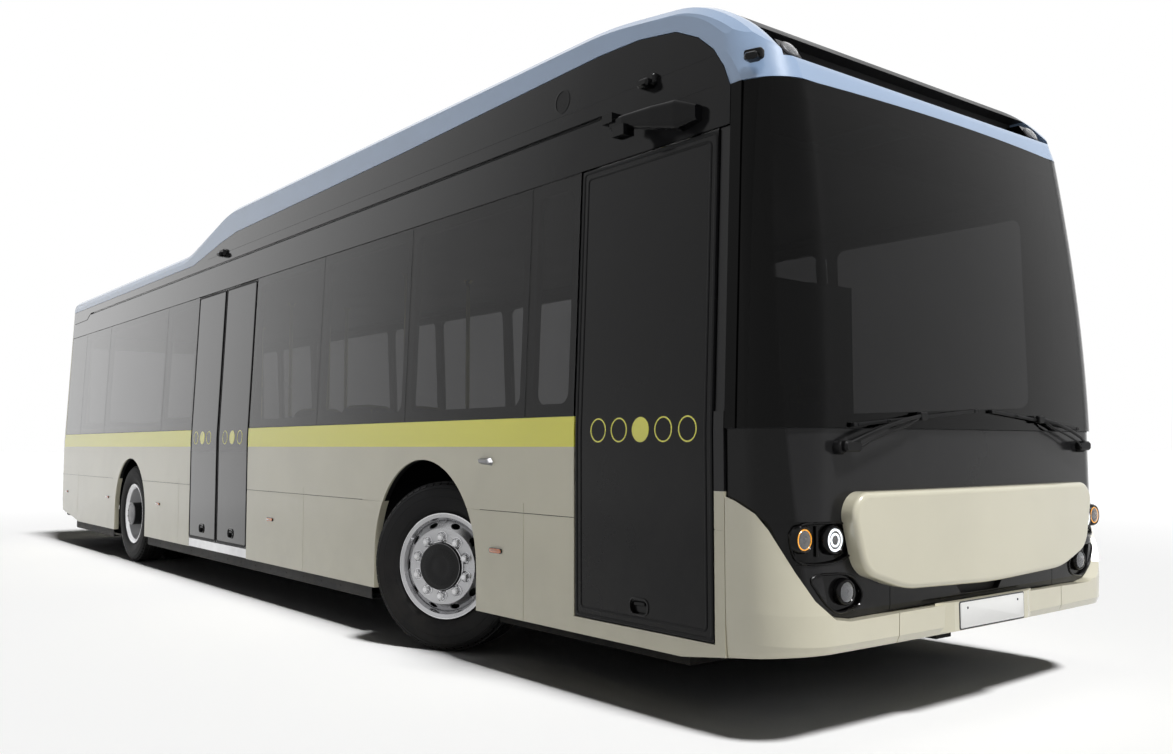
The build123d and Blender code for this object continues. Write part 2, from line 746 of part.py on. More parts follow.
with BuildPart() as rear_window:
    add(tail_shell(HIGH_TAIL, 10))
    add(plan_box(-6200, -5850, rear_window_box[0] + ease, rear_window_box[1] - ease, rear_window_box[2] + ease, rear_window_box[3] - ease),
        mode=Mode.INTERSECT)
export(rear_window.part, "rear_window")

with BuildPart() as tail_lamps:
    with BuildSketch(Plane.YZ.offset(-5950)):
        for height in TAIL_LAMPS:
            with Locations((tail_lamp_y, height), (-tail_lamp_y, height)):
                Circle(tail_lamp_radius)
    extrude(amount=-42)
export(tail_lamps.part, "tail_lamps")

# ---------------------------------------------------------------- floor and frame
floor_half = body_half - wall - ease
floor_front_x = 5520.0
floor_rear_x = -5720.0
nose_plate = 18.0            # thickness of the floor in the nose

with BuildPart() as nose_floor:
    add(nose_block(LOW_NOSE, panel_wall + ease, cab_joint_x - 100))
    add(plan_box(floor_front_x - 15, 6200, -1400, 1400, floor_top - nose_plate, floor_top),
        mode=Mode.INTERSECT)

with BuildPart() as tail_floor:
    mirror(nose_block(LOW_TAIL, wall + ease, -tail_joint_x - 100), about=Plane.YZ)
    add(plan_box(-6200, floor_rear_x + 15, -1400, 1400, floor_top - floor_plate, floor_top), mode=Mode.INTERSECT)

with BuildPart() as saloon_floor:
    add(plan_box(floor_rear_x, floor_front_x, -floor_half, floor_half, floor_top - floor_plate, floor_top))
    add(nose_floor.part)
    add(tail_floor.part)
    for _, _, _, axle, half in ARCHES:
        for side in (1, -1):
            low, high = sorted((side * (house_inner_y - ease), side * body_half))
            add(plan_box(axle - half - ease, axle + half + ease, low, high, 200, 400), mode=Mode.SUBTRACT)
export(saloon_floor.part, "saloon_floor")

with BuildPart() as wheel_houses:
    for _, _, _, axle, half in ARCHES:
        for side in (1, -1):
            low, high = sorted((side * house_inner_y, side * floor_half))
            add(plan_box(axle - half, axle + half, low, high, floor_top - floor_plate, house_top))
            low, high = sorted((side * (house_inner_y + house_plate), side * body_half))
            add(plan_box(axle - half + house_plate, axle + half - house_plate, low, high, 200, house_top - house_plate),
                mode=Mode.SUBTRACT)
export(wheel_houses.part, "wheel_houses")

rail_half = 30.0
tow_x = 5640.0
tow_radius = 20.0
FRAME_MODULES = (
    # rear end, front end, cross members
    (-5250.0, -3560.0, 4),
    (-2240.0, 2420.0, 8),
    (3780.0, 5240.0, 4),
)
with BuildPart() as underframe:
    for rear, front, members in FRAME_MODULES:
        for y in (-1150.0, -640.0, 640.0, 1150.0):
            add(plan_box(rear, front, y - rail_half, y + rail_half, frame_low + 12, floor_top - floor_plate))
        for index in range(members):
            x = rear + rail_half + index * (front - rear - 2 * rail_half) / (members - 1)
            add(plan_box(x - rail_half, x + rail_half, -1180, 1180, frame_low + 12, floor_top - floor_plate))
    # tow brackets with a pin hole, reached from below
    for bracket, hole in ((5210.0, tow_x), (-tow_x - 70, -tow_x)):
        add(plan_box(bracket, bracket + tow_x + 70 - 5210, -60, 60, floor_top - floor_plate - 45, floor_top - floor_plate))
        with Locations((hole, 0, floor_top - floor_plate - 22.5)):
            Cylinder(tow_radius, 45, mode=Mode.SUBTRACT)
export(underframe.part, "underframe")

with BuildPart() as battery_pack:
    add(plan_box(-2150, 2330, -600, 600, frame_low, frame_low + 11.5))
export(battery_pack.part, "battery_pack")

# ---------------------------------------------------------------- axles and wheels
beam_half = 45.0
boss_radius = 46.0
boss_low = tyre_radius - 56
boss_high = tyre_radius + 56
pin_radius = 20.0
pin_play = 0.05

with BuildPart() as front_axle:
    add(plan_box(front_axle_x - 60, front_axle_x + 60, -640, 640, 236, 312))
    for side in (1, -1):
        add(plan_box(front_axle_x - beam_half, front_axle_x + beam_half, *sorted((side * 636, side * 720)), 236, boss_high - 14))
        add(plan_box(front_axle_x - beam_half, front_axle_x + beam_half, *sorted((side * 700, side * kingpin_y)), boss_low + 14, boss_high - 14))
        with BuildSketch(Plane.XY.offset(boss_low)):
            with Locations((front_axle_x, side * kingpin_y)):
                Circle(boss_radius)
        extrude(amount=boss_high - boss_low)
        with BuildSketch(Plane.XY.offset(boss_low)):
            with Locations((front_axle_x, side * kingpin_y)):
                Circle(pin_radius + pin_play)
        extrude(amount=boss_high - boss_low, mode=Mode.SUBTRACT)
        # radius rods back to the frame
        add(plan_box(2420.3, front_axle_x - 58, side * 480 - 22, side * 480 + 22, 250, 296))
export(front_axle.part, "front_axle")


def steered(side):
    """Plane at the kingpin, its X outwards along the steered wheel's axle and its Z up."""
    turn = math.radians(steer_rest)
    outward = (-side * math.sin(turn), side * math.cos(turn), 0)
    return Plane(origin=(front_axle_x, side * kingpin_y, tyre_radius), x_dir=outward, z_dir=(0, 0, 1))


def wheel_plane(side):
    """Plane in the middle of a front tyre, its Z outwards along the wheel's axis."""
    turn = math.radians(steer_rest)
    outward = Vector(-side * math.sin(turn), side * math.cos(turn), 0)
    centre = Vector(front_axle_x, side * kingpin_y, tyre_radius) + outward * wheel_offset
    return Plane(origin=centre, x_dir=(0, 0, 1), z_dir=outward)


def twin_plane(side, across):
    """Plane in the middle of a rear tyre, its Z outwards."""
    return Plane(origin=(rear_axle_x, side * across, tyre_radius), x_dir=(0, 0, 1), z_dir=(0, side, 0))


stub_radius = 45.0
stub_end = wheel_offset + 90
hub_radius = 132.0
ear_gap = 6.0

for name, side in SIDES:
    with BuildPart(steered(side)) as knuckle:
        # local axes: X outwards, Z up, kingpin on Z
        ear_low, ear_high = boss_high - tyre_radius + ear_gap, boss_high - tyre_radius + ear_gap + 40
        for z_from, z_to in ((ear_low, ear_high), (-ear_high, -ear_low)):
            with Locations((0, 0, (z_from + z_to) / 2)):
                Cylinder(40, z_to - z_from)
            with Locations((40, 0, (z_from + z_to) / 2)):
                Box(80, 80, z_to - z_from)
        with Locations((70, 0, 0)):
            Box(28, 100, 2 * ear_high)
        Cylinder(pin_radius, 2 * ear_high)
        with Locations(((stub_end + 60) / 2, 0, 0)):
            Cylinder(stub_radius, stub_end - 60, rotation=(0, 90, 0))
    export(knuckle.part, f"{name}_knuckle")

tyre_profile = (
    # radius, half width: bead, bulge of the sidewall, shoulder, tread
    (bead_radius + ease, 102.0), (rim_lip_radius + 2, 102.0), (322.0, 122.0), (385.0, tyre_width / 2), (452.0, 130.0),
    (478.0, 114.0), (tyre_radius, 88.0),
)


def tyre_solid():
    """Closed ring of one tyre about Z."""
    with BuildPart() as ring:
        with BuildSketch(Plane.XZ):
            with BuildLine():
                Polyline(*tyre_profile, *((r, -h) for r, h in reversed(tyre_profile)), close=True)
            make_face()
        revolve(axis=Axis.Z)
    return ring.part


def rim_barrel():
    """Barrel with its two lips, about Z."""
    profile = (
        (bead_radius, -103), (rim_lip_radius, -108), (rim_lip_radius, -rim_half_width), (bead_radius - 10, -rim_half_width + 4),
        (bead_radius - 24, -96), (bead_radius - 24, 96), (bead_radius - 10, rim_half_width - 4),
        (rim_lip_radius, rim_half_width), (rim_lip_radius, 108), (bead_radius, 103),
    )
    with BuildPart() as barrel:
        with BuildSketch(Plane.XZ):
            with BuildLine():
                Polyline(*profile, close=True)
            make_face()
        revolve(axis=Axis.Z)
    return barrel.part


def wheel_disc(root, face, nuts_out):
    """Disc from the barrel to the hub face about Z, with hand holes and wheel nuts."""
    flat_radius = 216.0
    disc_wall = 12.0
    barrel_inner = bead_radius - 24
    profile = (
        (barrel_inner + 2, root), (flat_radius, face), (138, face), (138, face - disc_wall),
        (flat_radius - 4, face - disc_wall), (barrel_inner + 2, root - disc_wall - 4),
    )
    with BuildPart() as disc:
        with BuildSketch(Plane.XZ):
            with BuildLine():
                Polyline(*profile, close=True)
            make_face()
        revolve(axis=Axis.Z)
        with BuildSketch(Plane.XY.offset(min(root, face) - 60)):
            with PolarLocations(238, bolt_count, start_angle=18):
                Ellipse(15, 29)
        extrude(amount=260, mode=Mode.SUBTRACT)
        with BuildSketch(Plane.XY.offset(face - 1)):
            with PolarLocations(bolt_circle / 2, bolt_count):
                RegularPolygon(19, 6)
        extrude(amount=nuts_out)
    return disc.part


def steer_hub():
    """Hub of a front wheel about Z: closed at the outer end, bored for the stub axle."""
    with BuildPart() as hub:
        with Locations((0, 0, 56)):
            Cylinder(hub_radius, 216)
        with Locations((0, 0, 115)):
            Cylinder(192, 20)
        with Locations((0, 0, 20)):
            Cylinder(stub_radius + pin_play, 160, mode=Mode.SUBTRACT)
    return hub.part


def drive_hub():
    """Hub drum between the twin wheels and its end that stands out of the dish."""
    with BuildPart() as drum:
        with Locations((0, 0, -100)):
            Cylinder(138.5, 130)
        with Locations((0, 0, 20)):
            Cylinder(110, 180)
        with Locations((0, 0, -130)):
            Cylinder(stub_radius + pin_play, 140, mode=Mode.SUBTRACT)
    return drum.part


for name, side in SIDES:
    inner, outer = twin_plane(side, twin_outer_y - twin_spacing), twin_plane(side, twin_outer_y)

    with BuildPart() as front_tyre:
        with Locations(wheel_plane(side)):
            add(tyre_solid())
    export(front_tyre.part, f"{name}_front_tyre")

    with BuildPart() as front_rim:
        with Locations(wheel_plane(side)):
            add(rim_barrel())
            add(wheel_disc(88, 136, 34))
            add(steer_hub())
    export(front_rim.part, f"{name}_front_rim")

    with BuildPart() as rear_tyres:
        with Locations(inner, outer):
            add(tyre_solid())
    export(rear_tyres.part, f"{name}_rear_tyres")

    with BuildPart() as rear_rims:
        with Locations(inner, outer):
            add(rim_barrel())
        with Locations(outer):
            add(wheel_disc(-80, -143, 34))
            add(drive_hub())
        with Locations(inner):
            add(wheel_disc(80, 155, 2))
    export(rear_rims.part, f"{name}_rear_rims")

with BuildPart() as rear_axle:
    add(plan_box(rear_axle_x - 70, rear_axle_x + 70, -690, 690, 236, 312))
    for side in (1, -1):
        add(plan_box(rear_axle_x - 70, rear_axle_x + 70, *sorted((side * 634, side * 690)), 300, 560))
        with Locations(twin_plane(side, (660 + 985) / 2)):
            Cylinder(stub_radius, 985 - 660)
        add(plan_box(rear_axle_x + 68, -2240.3, side * 480 - 22, side * 480 + 22, 250, 296))
export(rear_axle.part, "rear_axle")

# ---------------------------------------------------------------- inside
SEAT_ROWS = (
    # x of the seat's front edge, side, height of its feet, seats
    (2300.0, 1), (1500.0, 1), (700.0, 1), (-100.0, 1), (-900.0, 1), (-1700.0, 1),
    (2300.0, -1), (1500.0, -1), (-1700.0, -1),
    (-3900.0, 1), (-3900.0, -1), (-4700.0, 1), (-4700.0, -1),
)
seat_width = 860.0
seat_inner_y = 330.0
with BuildPart() as passenger_seats:
    for front, side in SEAT_ROWS:
        low, high = sorted((side * seat_inner_y, side * (seat_inner_y + seat_width)))
        middle = side * (seat_inner_y + seat_width / 2)
        add(plan_box(front - 420, front, low, high, 790, 850))
        with BuildSketch(Plane.XZ.offset(-low)):
            with BuildLine():
                Polyline((front - 420, 800), (front - 370, 800), (front - 460, 1460), (front - 500, 1460), close=True)
            make_face()
        extrude(amount=-(high - low))
        add(plan_box(front - 260, front - 180, middle - 40, middle + 40, floor_top + ease, 795))
export(passenger_seats.part, "passenger_seats")

with BuildPart() as dashboard:
    add(plan_box(5300, 5700, -100, 1120, 900, 1180))
    add(plan_box(5380, 5500, 300, 900, floor_top + ease, 905))
export(dashboard.part, "dashboard")

wheel_tilt = 25.0
wheel_centre = (5080.0, 640.0, 1220.0)
column_half = 30.0
with BuildPart() as steering_ring:
    Torus(215, 16)
    Cylinder(50, 40)
    for angle in (0, 120, 240):
        with Locations(Rotation(0, 0, angle)):
            with Locations((110, 0, 0)):
                Box(220, 26, 14)

with BuildPart() as steering_wheel:
    with Locations(Location(wheel_centre, (0, -wheel_tilt, 0))):
        add(steering_ring.part)
    x, y, z = wheel_centre
    add(plan_box(x - 20, x + column_half, y - column_half, y + column_half, 900, z - 5))
    add(plan_box(x - 20, 5300 - ease, y - column_half, y + column_half, 900, 960))
export(steering_wheel.part, "steering_wheel")

with BuildPart() as driver_seat:
    add(plan_box(4480, 4930, 400, 880, 820, 930))
    with BuildSketch(Plane.XZ.offset(-400)):
        with BuildLine():
            Polyline((4480, 850), (4590, 850), (4470, 1580), (4370, 1580), close=True)
        make_face()
    extrude(amount=-480)
    add(plan_box(4600, 4820, 540, 740, floor_top + ease, 825))
export(driver_seat.part, "driver_seat")

with BuildPart() as cab_partition:
    add(plan_box(4280, 4310, 60, 1200, floor_top + ease, 2200))
export(cab_partition.part, "cab_partition")

POLES = (
    # x, y of each upright
    (4250.0, -400.0), (1100.0, 290.0), (1100.0, -290.0), (-1180.0, 290.0), (-1180.0, -290.0),
    (420.0, -640.0), (-3400.0, 290.0), (-3400.0, -290.0),
)
with BuildPart() as handrails:
    for x, y in POLES:
        with BuildSketch(Plane.XY.offset(floor_top + ease)):
            with Locations((x, y)):
                Circle(17)
        extrude(amount=2560 - ease - floor_top - ease)
export(handrails.part, "handrails")

# ---------------------------------------------------------------- cameras and side lamps
POD_SECTIONS = (
    # x, middle across, middle height, half width, half height: from the foot to the tip
    (5378, 1236, 2612, 24, 34), (5290, 1262, 2616, 46, 66), (5170, 1296, 2628, 40, 52), (5010, 1336, 2640, 26, 30),
    (4930, 1344, 2640, 22, 26),
)
POD_HEADS = (
    # x from, x to, height from, height to
    (4889, 4960, 2646, 2690), (4960, 5040, 2572, 2622),
)

with BuildPart() as camera_arms:
    for x, across, height, half_across, half_high in POD_SECTIONS:
        with BuildSketch(Plane.YZ.offset(x)):
            with Locations((across, height)):
                RectangleRounded(2 * half_across, 2 * half_high, 0.6 * half_across)
    loft(ruled=True)
    for x_from, x_to, low, high in POD_HEADS:
        add(plan_box(x_from, x_to, 1312, 1376, low, high))
    # the foot seats on the leaning side of the body
    add(side_slab(1, 2400, 2800, -ease, 100, 4800, 5500), mode=Mode.SUBTRACT)
    mirror(about=Plane.XZ)
export(camera_arms.part, "camera_arms")

SIDE_LAMP_X = (3878.0, 815.0, -1947.0, -3750.0, -5600.0)
with BuildPart() as side_lamps:
    for side in (1, -1):
        for x in SIDE_LAMP_X:
            add(plan_box(x - 45, x + 45, *sorted((side * (body_half + ease), side * (body_half + 8))), 614, 638))
export(side_lamps.part, "side_lamps")
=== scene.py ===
"""City bus: finishes, fittings and studio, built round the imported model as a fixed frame."""

import json
import math

import bmesh
import bpy
from mathutils import Matrix, Vector


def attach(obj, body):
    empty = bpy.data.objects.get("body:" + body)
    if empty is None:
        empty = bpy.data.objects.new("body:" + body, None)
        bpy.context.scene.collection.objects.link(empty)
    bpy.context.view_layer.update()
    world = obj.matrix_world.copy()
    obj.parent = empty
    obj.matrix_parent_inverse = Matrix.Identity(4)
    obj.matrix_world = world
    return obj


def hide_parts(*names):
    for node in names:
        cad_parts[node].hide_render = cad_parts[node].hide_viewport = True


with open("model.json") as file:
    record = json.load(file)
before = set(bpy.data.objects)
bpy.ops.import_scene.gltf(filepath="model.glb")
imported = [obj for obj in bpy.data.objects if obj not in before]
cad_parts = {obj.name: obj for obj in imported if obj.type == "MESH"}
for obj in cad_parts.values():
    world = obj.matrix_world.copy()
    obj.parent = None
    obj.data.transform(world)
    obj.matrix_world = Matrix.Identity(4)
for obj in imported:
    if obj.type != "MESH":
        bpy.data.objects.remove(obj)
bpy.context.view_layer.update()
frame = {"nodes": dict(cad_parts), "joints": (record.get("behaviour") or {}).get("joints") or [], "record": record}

bl_info = {
    "name": "City Bus Finish",
    "version": (1, 0, 0),
    "blender": (4, 5, 0),
    "location": "3D View > Sidebar > Bus",
    "description": "Finishes, fittings and studio of a low-floor city bus",
    "category": "Object",
}

BODY = "body"
LEFT, RIGHT = 1, -1
SIDES = (LEFT, RIGHT)
UP = (0, 0, 1)
AHEAD = (1, 0, 0)
ASTERN = (-1, 0, 0)
ACROSS = (0, 1, 0)
TO_RIGHT = (0, -1, 0)
STILL = Matrix.Identity(4)
groups = {}
materials = {}


# ---- settings
def colour_setting(name, default, description):
    """Colour that the user can change."""
    return bpy.props.FloatVectorProperty(
        name=name, description=description, subtype="COLOR", size=3, min=0, max=1, default=default)


def number_setting(name, default, description, **limits):
    """Number that the user can change, with its limits or unit."""
    return bpy.props.FloatProperty(name=name, description=description, default=default, **limits)


def length_setting(name, default, description):
    """Length in metres that the user can change."""
    return number_setting(name, default, description, min=0, unit="LENGTH")


def angle_setting(name, degrees, description):
    """Angle that the user can change."""
    return number_setting(name, math.radians(degrees), description, unit="ROTATION")


def shade(red, green, blue):
    """Linear colour of an sRGB colour given from 0 to 255."""
    def linear(value):
        value /= 255
        return value / 12.92 if value <= 0.04045 else ((value + 0.055) / 1.055) ** 2.4
    return linear(red), linear(green), linear(blue)


class BusLivery(bpy.types.PropertyGroup):
    """Paint colours and the heights of the coloured band."""

    cream: colour_setting("Cream", shade(214, 209, 186), "Lower panels, mask and bumpers")
    yellow: colour_setting("Yellow", shade(250, 245, 80), "Band under the windows and the rings on the doors")
    blue: colour_setting("Blue", shade(150, 176, 210), "Roof edge")
    black: colour_setting("Black", shade(24, 24, 25), "Upper panels and doors")
    band_low: length_setting("Band low", 1.173, "Lower edge of the yellow band")
    band_high: length_setting("Band high", 1.320, "Upper edge of the yellow band")
    band_front: length_setting("Band front", 5.462, "Front end of the cream and yellow on the walls")
    corner_high: length_setting("Corner high", 0.992, "Top of the cream at the front corner")
    seam: length_setting("Seam", 0.835, "Joint between the upper and lower side panels")
    wall_face: length_setting("Wall face", 1.2615, "From the middle to where the outside of a wall starts")


class BusStudio(bpy.types.PropertyGroup):
    """Camera, floor and light."""

    camera_place: bpy.props.FloatVectorProperty(
        name="Camera place", description="Where the camera stands", unit="LENGTH", size=3,
        default=(8.560, -4.394, 1.179))
    camera_yaw: angle_setting("Camera yaw", 141.4408, "Direction of view about Z")
    camera_pitch: angle_setting("Camera pitch", 3.7239, "Upward tilt of the view")
    camera_roll: angle_setting("Camera roll", -0.0669, "Turn of the view about its own axis")
    camera_lens: number_setting("Lens", 32.33, "Focal length in millimetres on a 36 mm wide sensor", min=1)
    floor_colour: colour_setting("Floor", (0.74, 0.74, 0.74), "Studio floor, as it throws light back")
    floor_white: number_setting("Floor white", 0.96, "Tone of the floor to look at, by the bus", min=0, max=1)
    sky_light: number_setting("Sky light", 0.03, "Strength of the white surroundings as light", min=0)
    overhead: number_setting("Overhead", 3.3, "Strength of the light from above", min=0)
    overhead_spread: angle_setting("Overhead spread", 10.0, "Softness of the light from above")


class BusWheels(bpy.types.PropertyGroup):
    """Tyre pattern."""

    tread_pitches: bpy.props.IntProperty(
        name="Tread pitches", description="How often the tread blocks repeat round a tyre",
        default=60, min=20, max=90)


class BusTrim(bpy.types.PropertyGroup):
    """Rings on the doors."""

    ring_radius: length_setting("Ring radius", 0.0565, "Outer radius of the rings on the doors")
    ring_band: length_setting("Ring band", 0.0065, "Width of the line of a ring")


# ---- node graphs
class Graph:
    """Short way to add nodes to a tree and join them."""

    def __init__(self, tree):
        self.tree = tree

    def set(self, socket, value):
        """Joins a socket to an output, or gives it a value."""
        if isinstance(value, bpy.types.NodeSocket):
            self.tree.links.new(value, socket)
        else:
            socket.default_value = value

    def add(self, kind, inputs=(), **settings):
        """Node with its settings, and with values or links on its inputs."""
        node = self.tree.nodes.new(kind)
        for key, value in settings.items():
            setattr(node, key, value)
        for key, value in dict(inputs).items():
            self.set(node.inputs[key], value)
        return node

    def math(self, operation, first, second=0.0, clamp=False):
        """Result of one sum."""
        node = self.add("ShaderNodeMath", {0: first, 1: second}, operation=operation, use_clamp=clamp)
        return node.outputs[0]

    def both(self, first, second):
        """Product of two values, which is where both masks hold."""
        return self.math("MULTIPLY", first, second)

    def mix(self, factor, first, second):
        """Mix of two colours."""
        first, second = (value if isinstance(value, bpy.types.NodeSocket) else (*value[:3], 1)
                         for value in (first, second))
        return self.add("ShaderNodeMix", {0: factor, 6: first, 7: second}, data_type="RGBA").outputs[2]

    def mottle(self, mask, low, high, colour, share):
        """Colour that drifts to a share of itself where a mask goes from low to high."""
        return self.mix(self.span(mask, low, high), colour, tuple(channel * share for channel in colour))

    def span(self, value, low, high, out_low=0.0, out_high=1.0):
        """A value carried from one range to another, held inside it."""
        return self.add("ShaderNodeMapRange", {
            "Value": value, "From Min": low, "From Max": high, "To Min": out_low, "To Max": out_high,
        }).outputs[0]

    def noise(self, place, scale, detail, roughness=0.55):
        """Soft random value."""
        return self.add("ShaderNodeTexNoise", {
            "Vector": place, "Scale": scale, "Detail": detail, "Roughness": roughness,
        }).outputs["Fac"]

    def axes(self, place):
        """The three parts of a place."""
        return self.add("ShaderNodeSeparateXYZ", {0: place}).outputs


def shader_effect(name, numbers, outputs):
    """New shader node group read on a vector: its graph, its inputs and its output node."""
    group = groups[name] = bpy.data.node_groups.new(name, "ShaderNodeTree")
    group.interface.new_socket(name="Vector", in_out="INPUT", socket_type="NodeSocketVector")
    for label, default in numbers.items():
        socket = group.interface.new_socket(name=label, in_out="INPUT", socket_type="NodeSocketFloat")
        socket.default_value = default
    for label in outputs:
        group.interface.new_socket(name=label, in_out="OUTPUT", socket_type="NodeSocketFloat")
    graph = Graph(group)
    return graph, graph.add("NodeGroupInput").outputs, graph.add("NodeGroupOutput").inputs


def build_road_film():
    """Thin dust that thickens towards the road, broken up by noise."""
    graph, source, result = shader_effect("Road Film", {"Low": 0.2, "High": 0.7, "Amount": 0.4}, ("Mask",))
    reach = graph.span(graph.axes(source["Vector"])["Z"], source["High"], source["Low"])
    patch = graph.span(graph.noise(source["Vector"], scale=6.0, detail=5.0, roughness=0.65), 0.35, 0.7)
    graph.set(result["Mask"], graph.math("MULTIPLY", graph.both(reach, patch), source["Amount"], clamp=True))


def build_fine_grain():
    """Moulded or cast grain: a height for bump and a mask for roughness."""
    graph, source, result = shader_effect("Fine Grain", {"Scale": 400.0}, ("Height", "Mask"))
    cells = graph.add("ShaderNodeTexVoronoi", {"Vector": source["Vector"], "Scale": source["Scale"]},
                      feature="SMOOTH_F1")
    graph.set(result["Height"], cells.outputs["Distance"])
    graph.set(result["Mask"], graph.noise(source["Vector"], scale=3.0, detail=4.0))


def build_lacquer_ripple():
    """Slow ripple of sprayed lacquer."""
    graph, source, result = shader_effect("Lacquer Ripple", {"Scale": 60.0}, ("Height", "Mask"))
    graph.set(result["Height"], graph.noise(source["Vector"], source["Scale"], detail=1.0))
    graph.set(result["Mask"], graph.noise(source["Vector"], scale=1.3, detail=3.0))


def build_painted_corner_reflection():
    """1 over the middle of the front and 0 round its corners, along the leaning edge of a painted dark reflection.
    """
    lean, blur = 0.070, 0.006
    graph, source, result = shader_effect("Painted Corner Reflection", {"Edge": 5.896}, ("Mask",))
    place = graph.axes(source["Vector"])
    leaning = graph.math("ADD", place["X"], graph.both(place["Z"], lean))
    past = graph.math("SUBTRACT", leaning, source["Edge"])
    graph.set(result["Mask"], graph.span(past, -blur, blur))


class Finish:
    """Material with one Principled shader, read on Object coordinates."""

    def __init__(self, name, values):
        self.material = materials[name] = bpy.data.materials.new(name)
        self.material.use_nodes = True
        tree = self.material.node_tree
        self.graph = Graph(tree)
        self.shader = tree.nodes["Principled BSDF"]
        self.place = self.graph.add("ShaderNodeTexCoord").outputs["Object"]
        for socket, value in values.items():
            self.set(socket, value)

    def set(self, socket, value):
        """Joins or sets an input of the shader."""
        self.graph.set(self.shader.inputs[socket], value)

    def effect(self, name, **values):
        """One of the shared effects, with this material's own values."""
        inputs = {"Vector": self.place, **{key.title(): value for key, value in values.items()}}
        return self.graph.add("ShaderNodeGroup", inputs, node_tree=groups[name]).outputs

    def base(self):
        """What feeds the base colour so far."""
        return self.shader.inputs["Base Color"].links[0].from_socket

    def bump(self, height, strength, distance):
        """Relief from a height."""
        values = {"Height": height, "Strength": strength, "Distance": distance}
        self.set("Normal", self.graph.add("ShaderNodeBump", values).outputs["Normal"])

    def flat_coat(self, flat):
        """Lacquer that shows most at a flat angle, between two values of Facing."""
        facing_away = self.graph.add("ShaderNodeLayerWeight").outputs["Facing"]
        self.set("Coat Weight", self.graph.span(facing_away, *flat))

    def painted_corner_reflection(self, black):
        """Painted dark reflection round the corners of the front, put into the base colour."""
        self.set("Base Color", self.graph.mix(self.effect("Painted Corner Reflection")["Mask"], black, self.base()))


# ---- kinds of finish
PRINT_RANGE = (0.70, 0.95)
SCREEN_RANGE = (0.80, 0.98)


def paint(name, colour, film, coat=0.9):
    """Sprayed body paint under lacquer, with road film near the sill."""
    roughness, dust_roughness = 0.32, 0.4
    dust_colour = (0.23, 0.21, 0.18)
    finish = Finish(name, {"Coat Weight": coat, "Coat Roughness": 0.06})
    graph = finish.graph
    ripple = finish.effect("Lacquer Ripple", scale=55.0)
    tone = graph.mottle(ripple["Mask"], 0.35, 0.65, colour, 0.93)
    dust = finish.effect("Road Film", low=0.22, high=0.75, amount=film)["Mask"]
    finish.set("Base Color", graph.mix(dust, tone, dust_colour))
    finish.set("Roughness", graph.math("ADD", graph.both(dust, dust_roughness), roughness, clamp=True))
    finish.bump(ripple["Height"], strength=0.05, distance=0.001)
    return finish


def side_paint(name, livery):
    """Cream wall paint with the yellow band, and black ahead of the front door above the corner joint."""
    finish = paint(name, livery.cream, film=0.10)
    finish.set("Specular IOR Level", 0.25)
    graph = finish.graph
    place = graph.axes(finish.place)

    def past(axis, limit):
        return graph.math("GREATER_THAN", place[axis], limit)

    def short_of(value, limit):
        return graph.math("LESS_THAN", value, limit)

    band = graph.both(past("Z", livery.band_low), short_of(place["Z"], livery.band_high))
    nose_print = graph.both(past("X", livery.band_front), past("Z", livery.corner_high))
    black = graph.math("MAXIMUM", nose_print, past("Z", livery.band_high))
    # the inside of the wall and the returns of the wheel arches, above the lower panels
    inner = short_of(graph.math("ABSOLUTE", place["Y"]), livery.wall_face)
    black = graph.math("MAXIMUM", black, graph.both(inner, past("Z", livery.seam)))
    striped = graph.mix(band, finish.base(), livery.yellow)
    finish.set("Base Color", graph.mix(black, striped, livery.black))
    finish.set("Coat Weight", graph.span(black, 0.0, 1.0, 0.9, 0.0))


def gloss_black(name, colour, roughness=0.10, level=0.14, flat=(0.42, 0.76)):
    """Deep gloss black, whose lacquer shows most at a flat angle."""
    dust_colour = (0.16, 0.15, 0.13)
    finish = Finish(name, {"Specular IOR Level": level, "Coat Roughness": 0.03})
    graph = finish.graph
    ripple = finish.effect("Lacquer Ripple", scale=30.0)
    tone = graph.mottle(ripple["Mask"], 0.3, 0.7, colour, 1.3)
    dust = finish.effect("Road Film", low=0.3, high=1.6, amount=0.04)["Mask"]
    finish.set("Base Color", graph.mix(dust, tone, dust_colour))
    finish.set("Roughness", graph.span(ripple["Mask"], 0.3, 0.7, roughness, roughness + 0.05))
    finish.flat_coat(flat)
    finish.bump(ripple["Height"], strength=0.03, distance=0.001)
    return finish


def moulded(name, colour, roughness, scale=350.0, relief=0.25, film=0.0, level=0.22):
    """Moulded plastic or rubber with a fine grain."""
    dust_colour = (0.2, 0.18, 0.15)
    finish = Finish(name, {"Specular IOR Level": level})
    graph = finish.graph
    grain = finish.effect("Fine Grain", scale=scale)
    tone = graph.mottle(grain["Mask"], 0.3, 0.7, colour, 1.25)
    if film:
        dust = finish.effect("Road Film", low=0.1, high=0.9, amount=film)["Mask"]
        tone = graph.mix(dust, tone, dust_colour)
    finish.set("Base Color", tone)
    finish.set("Roughness", graph.span(grain["Mask"], 0.3, 0.7, roughness - 0.06, roughness + 0.08))
    finish.bump(grain["Height"], relief, distance=0.0004)


def metal(name, tone, roughness, scale=120.0, relief=0.08):
    """Polished or cast metal with slight stains, in a grey tone or a colour."""
    finish = Finish(name, {"Metallic": 1.0})
    graph = finish.graph
    grain = finish.effect("Fine Grain", scale=scale)
    finish.set("Base Color", graph.mottle(grain["Mask"], 0.35, 0.7, tone, 0.8))
    finish.set("Roughness", graph.span(grain["Mask"], 0.3, 0.7, roughness * 0.8, roughness * 1.5))
    finish.bump(grain["Height"], relief, distance=0.0003)


